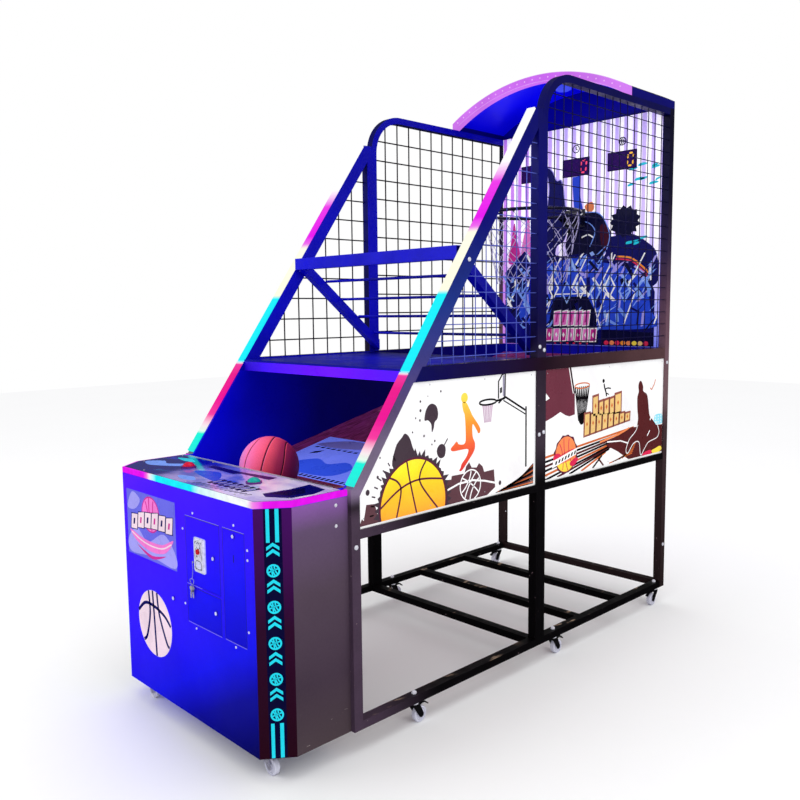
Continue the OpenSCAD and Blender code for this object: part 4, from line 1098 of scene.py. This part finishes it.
def rod(mesh, side, x, a, b, step, radius):
    """A slightly bent wire from a to b, given as depth and height."""
    a, b = Vector((0, *a)), Vector((0, *b))
    line = []
    for k in range(11):
        p = a.lerp(b, k / 10)
        line.append(Vector((side * (x + step) + WIRE_BOW * noise.noise(p * 9), p.y, p.z)))
    tube(mesh, line, radius, 10)


def wire_meshes():
    """Welded round wires in place of the plain grids, closer together on the right side."""
    low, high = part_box("rear_meshes")
    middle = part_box("front_meshes")[1].x - 0.002
    size = {side: ((high.y - low.y) / n, (high.z - low.z) / m) for side, (n, m) in CELLS.items()}

    def top_at(y):
        """Height of the rounded corner's inside edge at a depth."""
        inset = max(0.0, low.y + CORNER - y)
        return high.z - CORNER + math.sqrt(max(0.0, CORNER ** 2 - inset ** 2))

    def front_at(z):
        """Depth of the same edge at a height."""
        rise = max(0.0, z - (high.z - CORNER))
        return low.y + CORNER - math.sqrt(max(0.0, CORNER ** 2 - rise ** 2))

    mesh = bmesh.new()
    for side, (along, up) in CELLS.items():
        for k in range(1, along):
            y = high.y - k * size[side][0]
            rod(mesh, side, middle, (y, low.z), (y, top_at(y)), -WIRE_STEP, REAR_WIRE[side])
        for k in range(1, up):
            z = high.z - k * size[side][1]
            rod(mesh, side, middle, (front_at(z), z), (high.y, z), WIRE_STEP, REAR_WIRE[side])
    # Painted light: the wires turn bluer towards the near side (+x).
    dark = wire_paint("mesh_dark_wire", [(-0.5, 16, 8, 20), (0.4, 16, 10, 60), (0.5, 12, 8, 62)])
    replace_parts(piece("rear_mesh_wires", mesh, [dark], ROOT, "wire_mesh", True), "rear_meshes")

    low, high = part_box("front_meshes")
    slope = (high.z - low.z) / (high.y - low.y)
    mesh = bmesh.new()
    for side in (-1, 1):
        cell_y, cell_z = size[side]
        radius = FRONT_WIRE[side]
        for k in range(1, int((high.y - low.y) / cell_y) + 1):
            y = high.y - k * cell_y
            rod(mesh, side, middle, (y, low.z), (y, low.z + (y - low.y) * slope), -WIRE_STEP, radius)
        for k in range(1, int((high.z - low.z) / cell_z) + 1):
            z = high.z - k * cell_z
            rod(mesh, side, middle, (low.y + (z - low.z) / slope, z), (high.y, z), WIRE_STEP, radius)
        rod(mesh, side, middle, (low.y, low.z), (high.y, high.z - 0.002), 0.0, SLANT_WIRE)
    # Painted light: the wires get lighter and bluer towards the near side (+x), where they catch the light.
    lit = wire_paint("mesh_front_wire", [(-0.5, 16, 10, 30), (0.3, 30, 32, 110), (0.51, 76, 88, 186)])
    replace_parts(piece("front_mesh_wires", mesh, [lit], ROOT, "wire_mesh", True), "front_meshes")


HOOKS = 12                               # on the rim, 30 degrees apart
NET_ROWS = ((0.0, 0.232), (0.19, 0.220), (0.39, 0.206),      # share of the length from the top, radius
            (0.58, 0.193), (0.77, 0.181), (0.98, 0.168))
CORD, KNOT, LOOP = 0.0016, 0.0036, 0.0018                    # radii
SAG, KNOT_STRAY = 0.005, 0.003


def net_cords():
    """Knotted cord net on the rim's hooks."""
    low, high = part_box("net")
    centre = Vector(((low.x + high.x) / 2, (low.y + high.y) / 2, 0))
    rng = random.Random(3)

    def outward(p):
        return Vector((p.x - centre.x, p.y - centre.y, 0)).normalized()

    def spot(row, k):
        share, radius = NET_ROWS[row]
        turn = math.radians(15 + 30 * (k + 0.5 * (row % 2)))
        height = high.z - share * (high.z - low.z)
        return centre + Vector((radius * math.cos(turn), radius * math.sin(turn), height))

    knots = {(row, k): spot(row, k) + Vector([rng.uniform(-KNOT_STRAY, KNOT_STRAY) for _ in range(3)])
             for row in range(len(NET_ROWS)) for k in range(HOOKS)}
    for k in range(HOOKS):
        knots[(0, k)] = spot(0, k) + Vector((0, 0, 0.004))
    mesh = bmesh.new()
    for (row, k), a in knots.items():
        if row + 1 == len(NET_ROWS):
            continue
        for step in (0, 1):
            b = knots[(row + 1, (k + step - (0 if row % 2 else 1)) % HOOKS)]
            out = outward((a + b) / 2)
            line = []
            for n in range(9):
                bow = math.sin(math.pi * n / 8) * (0.004 + 0.003 * rng.random() if n == 4 else SAG)
                line.append(a.lerp(b, n / 8) - Z * bow + out * bow * 0.4)
            tube(mesh, line, CORD, 8)
    for (row, k), p in knots.items():
        if row:
            knot(mesh, p, KNOT, 1.25, row * 20 + k)
        else:
            side = outward(p).cross(Z)
            ring = [p + side * 0.006 * math.cos(a) + Z * (0.004 + 0.007 * math.sin(a)) for a in turns(14)]
            tube(mesh, ring, LOOP, 8, closed=True)
    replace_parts(piece("net_cords", mesh, [cord_paint()], ROOT, "net_cord", True), "net")


GROOVE_HALF = 0.024                      # half the width of a seam, as a share of the radius
GROOVE_DEPTH = 0.0022


def ball_skin():
    """A quad sphere with sunk seams; the grooves are an attribute for the colour."""
    low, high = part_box("ball")
    centre, radius = (low + high) / 2, (high.x - low.x) / 2
    mesh = bmesh.new()
    bmesh.ops.create_cube(mesh, size=2.0)
    bmesh.ops.subdivide_edges(mesh, edges=mesh.edges[:], cuts=95, use_grid_fill=True)
    layer = mesh.verts.layers.float.new("groove")
    front = Vector((0.643, -0.744, 0.175)).normalized()
    side = Vector((0.14, 0.17, 0.98)).cross(front).normalized()
    turn = Matrix((side, front.cross(side), front))
    for vert in mesh.verts:
        n = Vector([math.tan(c * math.pi / 4) for c in vert.co]).normalized()
        p = turn @ n
        bulge = 0.42 + 0.36 * p.z * p.z
        slope = math.hypot(1.0, 0.72 * p.z)
        gap = min(abs(p.x), abs(p.z), abs(abs(p.x) - bulge) / slope)
        deep = max(0.0, 1 - (gap / GROOVE_HALF) ** 2)
        vert[layer] = deep
        vert.co = centre + n * (radius - GROOVE_DEPTH * math.sqrt(deep))
    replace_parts(piece("ball_skin", mesh, [rubber_paint()], "ball", "ball_rubber", True), "ball")


DISPLAY_X = (-0.27, 0.0, 0.27)
DIGIT_H, DIGIT_PITCH = 0.060, 0.043
DIGIT_SLANT = 0.1                        # lean to the right, per height
DIGIT_LIFT = Vector((0, -0.0012, 0))


def nought(mesh, origin, index):
    """An upright nought of six lit bars, and the unlit middle bar."""
    wide, half, bar = DIGIT_H * 0.52, DIGIT_H / 2, DIGIT_H * 0.15
    for a, b, number in (((0, 0), (wide, 0), index), ((0, DIGIT_H), (wide, DIGIT_H), index),
                         ((0, 0), (0, half), index), ((0, half), (0, DIGIT_H), index),
                         ((wide, 0), (wide, half), index), ((wide, half), (wide, DIGIT_H), index),
                         ((0, half), (wide, half), 0)):
        a, b = Vector(a), Vector(b)
        along = (b - a).normalized()
        side = Vector((-along.y, along.x))
        a, b = a + along * bar * 0.55, b - along * bar * 0.55
        shape = [a, a + (along + side) * bar / 2, b + (side - along) * bar / 2, b,
                 b - (along + side) * bar / 2, a + (along - side) * bar / 2]
        prism(mesh, [origin + Vector((p.x + DIGIT_SLANT * p.y, 0, p.y)) for p in shape], DIGIT_LIFT, number)


def displays():
    """Digits and thin bezels on the three score windows."""
    low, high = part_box("score_displays")
    middle_z = (low.z + high.z) / 2
    half_w, half_h = 0.080, (high.z - low.z) / 2
    mesh = bmesh.new()
    for lit, x in enumerate(DISPLAY_X):
        for place in range(3):
            origin = Vector((x - 0.058 + DIGIT_PITCH * place, low.y, middle_z - DIGIT_H / 2))
            nought(mesh, origin, lit if place == 2 else 0)
        edge = [Vector((x + a * half_w, low.y + 0.0004, middle_z + b * half_h))
                for a, b in ((-1, -1), (1, -1), (1, 1), (-1, 1))]
        for a, b in zip(edge, edge[1:] + edge[:1]):
            tube(mesh, [a.lerp(b, k / 6) for k in range(7)], 0.0022, 8, index=3)
    materials = [moulded("digit_unlit", rgb(54, 4, 100), 0.4, 0.2), lamp("digit_pink", rgb(255, 74, 120)),
                 lamp("digit_amber", rgb(255, 190, 60)), moulded("display_bezel", rgb(24, 4, 60), 0.4, 0.2)]
    piece("display_digits", mesh, materials, ROOT, "display")


def arch_lamps():
    """The row of small lamps on the arch, and the trims on its two edges."""
    low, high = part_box("arch_light")
    rise = high.z - (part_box("roof")[0].z + 0.039)
    radius = (high.x ** 2 + rise ** 2) / (2 * rise)
    reach = math.asin((high.x - 0.028) / radius)
    middle = Vector((0, low.y, high.z - radius))

    def rays(count):
        """Directions from the arch's middle to points along it."""
        angles = [-reach + 2 * reach * k / (count - 1) for k in range(count)]
        return [Vector((math.sin(a), 0, math.cos(a))) for a in angles]

    mesh = bmesh.new()
    dome = pairs([0, -0.0005, 0.0036, -0.0005, 0.0036, 0.0008, 0.0026, 0.0022, 0.0014, 0.0030, 0, 0.0034])
    for ray in rays(23):
        lathe(mesh, middle + ray * (radius - 0.018), -Y, dome, 16)
    for inset in (0.0012, 0.0346):
        tube(mesh, [middle - Y * 0.0004 + ray * (radius - inset) for ray in rays(61)], 0.0014, 8, index=1)
    piece("arch_lamps", mesh, [lamp("lamp_pink_white", rgb(232, 176, 246)),
                               lamp("arch_edge_trim", rgb(214, 150, 240))], ROOT, "arch_lens", True)


def keys():
    """Two keys on a ring, hanging from the coin door on a thin cord."""
    mesh = bmesh.new()
    cord = [at(66 + 5 * math.sin(3 * t), -3 - 4 * t, 640 - 56 * t) for t in [k / 16 for k in range(17)]]
    tube(mesh, cord, 0.0008, 8)
    screw(mesh, at(66, -0.5, 642), -Y, 4)
    ring_at = at(66, -7, 575)
    ring = [ring_at + Vector((0.011 * math.cos(a), 0.002 * math.sin(2 * a), 0.011 * math.sin(a)))
            for a in turns(28)]
    tube(mesh, ring, 0.0009, 8, closed=True)
    for lean, depth in ((-6, -6), (5, -9)):
        swing = Matrix.Rotation(math.radians(lean), 3, "Y")
        bow = [Vector((10 * math.cos(a), 0, -22 + 8.5 * math.sin(a))) for a in
               [math.radians(250 - 320 * k / 18) for k in range(19)]]
        blade = [Vector((x, 0, z)) for x, z in pairs([
            3.5, -29, 3.5, -36, 2, -38, 3.5, -42, 2.2, -45, 3.4, -50, 1.5, -56, -2.5, -56,
            -3.5, -52, -3.5, -30])]
        points = [ring_at + (swing @ (p + Vector((0, depth + 6, 0)))) * MM for p in bow + blade]
        prism(mesh, points, Vector((0, 0.0018, 0)))
    piece("door_keys", mesh, [metal("key_nickel", rgb(206, 204, 216), 0.25)], "coin_door", "chrome")


def acceptor_trim():
    """Raised outlines and signs on the coin acceptor's plate."""
    low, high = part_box("coin_acceptor")
    art = Print("acceptor_print", Vector(((low.x + high.x) / 2, low.y, (low.z + high.z) / 2)), X, Z, -Y,
                [(-22, -48), (22, -48), (22, 48), (-22, 48)], "chrome", "coin_door")
    art.curve("deep_navy", 2.2, 2, -20, -44, 20, -44, 21, 0, 20, 44, -20, 44, -21, 0, steps=4, closed=True)
    art.line("navy", arc((0, 34), 11, 200, 520, 24)[:-1], 2.2, 2)
    art.poly("deep_navy", 2, -14, -6, -4, -6, -9, 3)
    art.stroke("navy", 2, 2, -15, 6, -15, 24)
    art.stroke("navy", 2, 2, 15, 4, 15, 26, 8, 30)
    art.curve("deep_navy", 2, 2, -15, -20, 15, -20, 15, -44, -15, -44, steps=3, closed=True)
    art.done()


def screws():
    """Small screws in the deck's sheet and round the side panels' edges."""
    deck_top, panel_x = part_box("deck")[1].z / MM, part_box("front_panels")[1].x / MM
    deck = pairs([-470, 110, -474, 280, -250, 284, 0, 286, 250, 284, 474, 280, 470, 110,
                  -300, 22, 0, 22, 300, 22])
    panels = pairs([380, 800, 700, 790, 1000, 790, 1290, 790, 1290, 1220, 1000, 1222, 700, 1222,
                    1400, 790, 1870, 790, 2345, 790, 1400, 1220, 1870, 1220, 2345, 1220])
    mesh = bmesh.new()
    for x, depth in deck:
        screw(mesh, at(x, depth, deck_top), Z)
    for side in (-1, 1):
        for depth, z in panels:
            screw(mesh, at(side * panel_x, depth, z), X * side, 2.4)
    piece("sheet_screws", mesh, [metal("screw_zinc", rgb(214, 214, 222), 0.25)], ROOT, "steel", True)


def deck_trim():
    """Aluminium angle on the deck's rear edge."""
    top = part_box("deck")[1].z / MM
    outline = pairs([292, 0.1, 300.1, 0.1, 300.1, -18, 301.2, -18, 301.2, 1.4, 292, 1.4])
    mesh = bmesh.new()
    prism(mesh, [at(-450, depth, top + z) for depth, z in outline], Vector((0.9, 0, 0)))
    aluminium = metal("trim_aluminium", rgb(206, 204, 220), 0.3, (0.05, 1, 1), 400)
    piece("deck_edge_trim", mesh, [aluminium], ROOT, "steel")


def display_cables():
    """Cables from the displays down the back of the board to the tube below it."""
    low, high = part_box("score_displays")
    top, foot_x, foot_z = (low.z + high.z) / 2, -0.2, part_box("backboard")[0].z + 0.02
    mesh = bmesh.new()
    for x in DISPLAY_X:
        line = []
        for k in range(41):
            t = k / 40
            sway = 0.012 * math.sin(9 * t + x * 20) * (1 - t)
            line.append(Vector((x + (foot_x - x) * t ** 1.6 + sway + 0.012 * x,
                                high.y + 0.004 + 0.002 * math.sin(6 * t), top + (foot_z - top) * t)))
        tube(mesh, line, 0.0028, 10)
    piece("display_cables", mesh, [moulded("cable_black", rgb(18, 18, 22), 0.5)], ROOT, "black_plastic", True)


# ---------------------------------------------------------------- finishes on the CAD nodes

ARM_STOPS = [(0.90, 40, 235, 222), (0.985, 24, 243, 219), (0.995, 225, 250, 235),
             (1.02, 250, 225, 235), (1.06, 246, 60, 160), (1.12, 238, 20, 150),
             (1.22, 236, 30, 140), (1.262, 240, 60, 160), (1.268, 250, 240, 250),
             (1.274, 26, 240, 252), (1.54, 26, 240, 252), (1.552, 252, 250, 226),
             (1.765, 252, 251, 232), (1.785, 236, 110, 236), (1.82, 232, 22, 238),
             (1.96, 236, 60, 232), (2.04, 252, 250, 254), (2.26, 253, 253, 254)]

paint(frame_paint(), "front_frame_left", "front_frame_right", "rear_frame_left", "rear_frame_right",
      "crossbars")
paint(guard_paint(), "ball_guard")
# The beam face and the lane lining glow: painted light.
paint(board_paint("beam_violet_face", [(-0.5, 10, 2, 150), (-0.3, 60, 4, 230), (0.1, 96, 2, 255),
                                       (0.5, 70, 4, 240)], "x", glow=0.5), "lane_beam")
paint(board_paint("lane_cover_blue", [(-0.65, 3, 2, 150), (-0.2, 4, 3, 190), (0.15, 2, 2, 110)]),
      "lane_cover")
paint(board_paint("lane_lining_navy", [(-0.9, 3, 2, 190), (-0.6, 2, 2, 140), (-0.2, 1, 1, 82),
                                       (0.3, 1, 1, 60), (1.15, 2, 2, 96)], glow=0.6), "lane_walls")
paint(panel_paint(), "front_panels", "rear_panels")
paint(ramp_paint(), "ball_ramp")
paint(backboard_paint(), "backboard")
paint(sheet_paint(), "roof")
paint(arch_paint(), "arch_light")
paint(cabinet_paint(), "cabinet")
paint(door_paint(), "coin_door", "cash_door", "service_door")
paint(deck_paint(), "deck")
paint(tube_glow("arm_light_tube", ARM_STOPS, "z"), "arm_lights")
paint(deck_glow(), "deck_light")
paint(moulded("rim_navy_coat", rgb(12, 12, 40), 0.25, shine=1.2), "rim")
paint(moulded("sensor_black", rgb(20, 20, 24), 0.4), "hoop_sensor", "gate_actuator")
paint(lamp("lamp_frosted_lens", rgb(64, 76, 236)), "ceiling_lamp")
paint(moulded("display_window", rgb(44, 2, 96), 0.4, shine=0.2), "score_displays")
# The chrome glows a little: painted light.
chrome = metal("polished_chrome", rgb(226, 228, 246), 0.14, (1, 1, 1), 90, glow=0.3)
paint(chrome, "coin_acceptor", "coin_lock", "cash_lock", "service_lock", "power_key")
paint(moulded("return_button_red", rgb(190, 20, 34), 0.25, coat=0.4), "coin_return_button")
paint(metal("box_galvanised", rgb(168, 172, 178), 0.42, (1, 1, 6), 60), "cash_box", "ball_gate")
paint(moulded("board_green_mask", rgb(30, 92, 50), 0.4), "electronics_tray")
paint(moulded("dome_red", rgb(206, 16, 56), 0.16, coat=0.8, glow=0.08), "red_button")
paint(moulded("dome_teal", rgb(20, 160, 150), 0.16, coat=0.8, glow=0.08), "green_button")
paint(moulded("housing_violet", rgb(104, 40, 128), 0.22, coat=0.5), "button_housings")
# The bolts glow a little: painted light.
paint(metal("bolt_zinc", rgb(228, 228, 240), 0.28, glow=0.3), "frame_bolts")
zinc_fork = metal("caster_zinc_fork", rgb(190, 188, 206), 0.3)
black_fork = moulded("caster_black_fork", rgb(16, 15, 18), 0.35)
tread = moulded("caster_clear_tread", rgb(206, 206, 222), 0.25, coat=0.4)
for name in NODES:
    if name.endswith("_fork"):
        paint(zinc_fork if name.startswith("cabinet") else black_fork, name)
    elif name.endswith("_wheel"):
        paint(tread, name)

wire_meshes()
net_cords()
ball_skin()
for side, word in ((1, "right"), (-1, "left")):
    front_panel_art(side, "front_panel_print_" + word)
    rear_panel_art(side, "rear_panel_print_" + word)
    chamfer_art(side)
backboard_art()
cabinet_art()
deck_art()
ramp_art()
displays()
arch_lamps()
keys()
acceptor_trim()
screws()
deck_trim()
display_cables()


# ---------------------------------------------------------------- stage, lights and camera

AIM = Vector((0, 0, 1))                 # where the lamps point
REFLECTED_SHARE = 0.12                  # of the white surroundings, as the paint mirrors them
EYE = (2.5108, -2.5997, 1.4818)         # the camera's place, and its yaw, pitch and roll in degrees
TURN = (45.96, -6.0, -0.62)


def stage():
    """A pale floor, dark in reflections."""
    mesh = bmesh.new()
    bmesh.ops.create_grid(mesh, x_segments=8, y_segments=8, size=14)
    data = bpy.data.meshes.new("floor")
    mesh.to_mesh(data)
    mesh.free()
    g = Graph("floor_pale")
    mirrored = g.node("ShaderNodeLightPath").outputs["Is Glossy Ray"]
    color = g.mix(mirrored, g.mottle(rgb(249, 249, 250), 0.004, 0.8), rgb(40, 40, 44))
    data.materials.append(g.finish(color, 0.8, shine=0.0))
    link("floor", data)


def area_light(name, place, size, power):
    """A round lamp turned to the machine's middle."""
    data = bpy.data.lights.new(name, "AREA")
    data.shape = "DISK"
    data.size = size
    data.energy = power
    light = link(name, data)
    light.location = place
    light.rotation_euler = (AIM - Vector(place)).to_track_quat("-Z", "Y").to_euler()


def world():
    """White to the camera and as a soft light; dim in reflections, so that dark paint stays dark."""
    sky = bpy.data.worlds.new("studio")
    bpy.context.scene.world = sky
    sky.use_nodes = True
    tree = sky.node_tree
    path = tree.nodes.new("ShaderNodeLightPath")
    fade = tree.nodes.new("ShaderNodeMath")
    fade.operation = "MULTIPLY_ADD"
    tree.links.new(path.outputs["Is Glossy Ray"], fade.inputs[0])
    fade.inputs[1].default_value, fade.inputs[2].default_value = REFLECTED_SHARE - 1, 1.0
    ground = tree.nodes["Background"]
    ground.inputs[0].default_value = (1, 1, 1, 1)
    tree.links.new(fade.outputs[0], ground.inputs[1])


def camera():
    """At the height of a standing viewer, off the machine's right front corner."""
    yaw, pitch, roll = (math.radians(angle) for angle in TURN)
    ahead = Vector((-math.sin(yaw) * math.cos(pitch), math.cos(yaw) * math.cos(pitch), math.sin(pitch)))
    level = Vector((math.cos(yaw), math.sin(yaw), 0))
    over = level.cross(ahead)
    right = level * math.cos(roll) + over * math.sin(roll)
    top = over * math.cos(roll) - level * math.sin(roll)
    data = bpy.data.cameras.new("camera")
    data.lens, data.sensor_width = 37.25, 36.0
    data.shift_x, data.shift_y = 0.0050, -0.0030
    eye = link("camera", data)
    eye.matrix_world = Matrix.Translation(EYE) @ Matrix((right, top, -ahead)).transposed().to_4x4()
    bpy.context.scene.camera = eye


stage()
world()
camera()
area_light("key", (-3.0, -5.0, 3.6), 3.5, 45)
area_light("side", (5.2, -0.6, 3.4), 3.5, 40)
area_light("top", (0.5, 0.5, 6.0), 4.0, 35)
bpy.context.scene.view_settings.view_transform = "Standard"
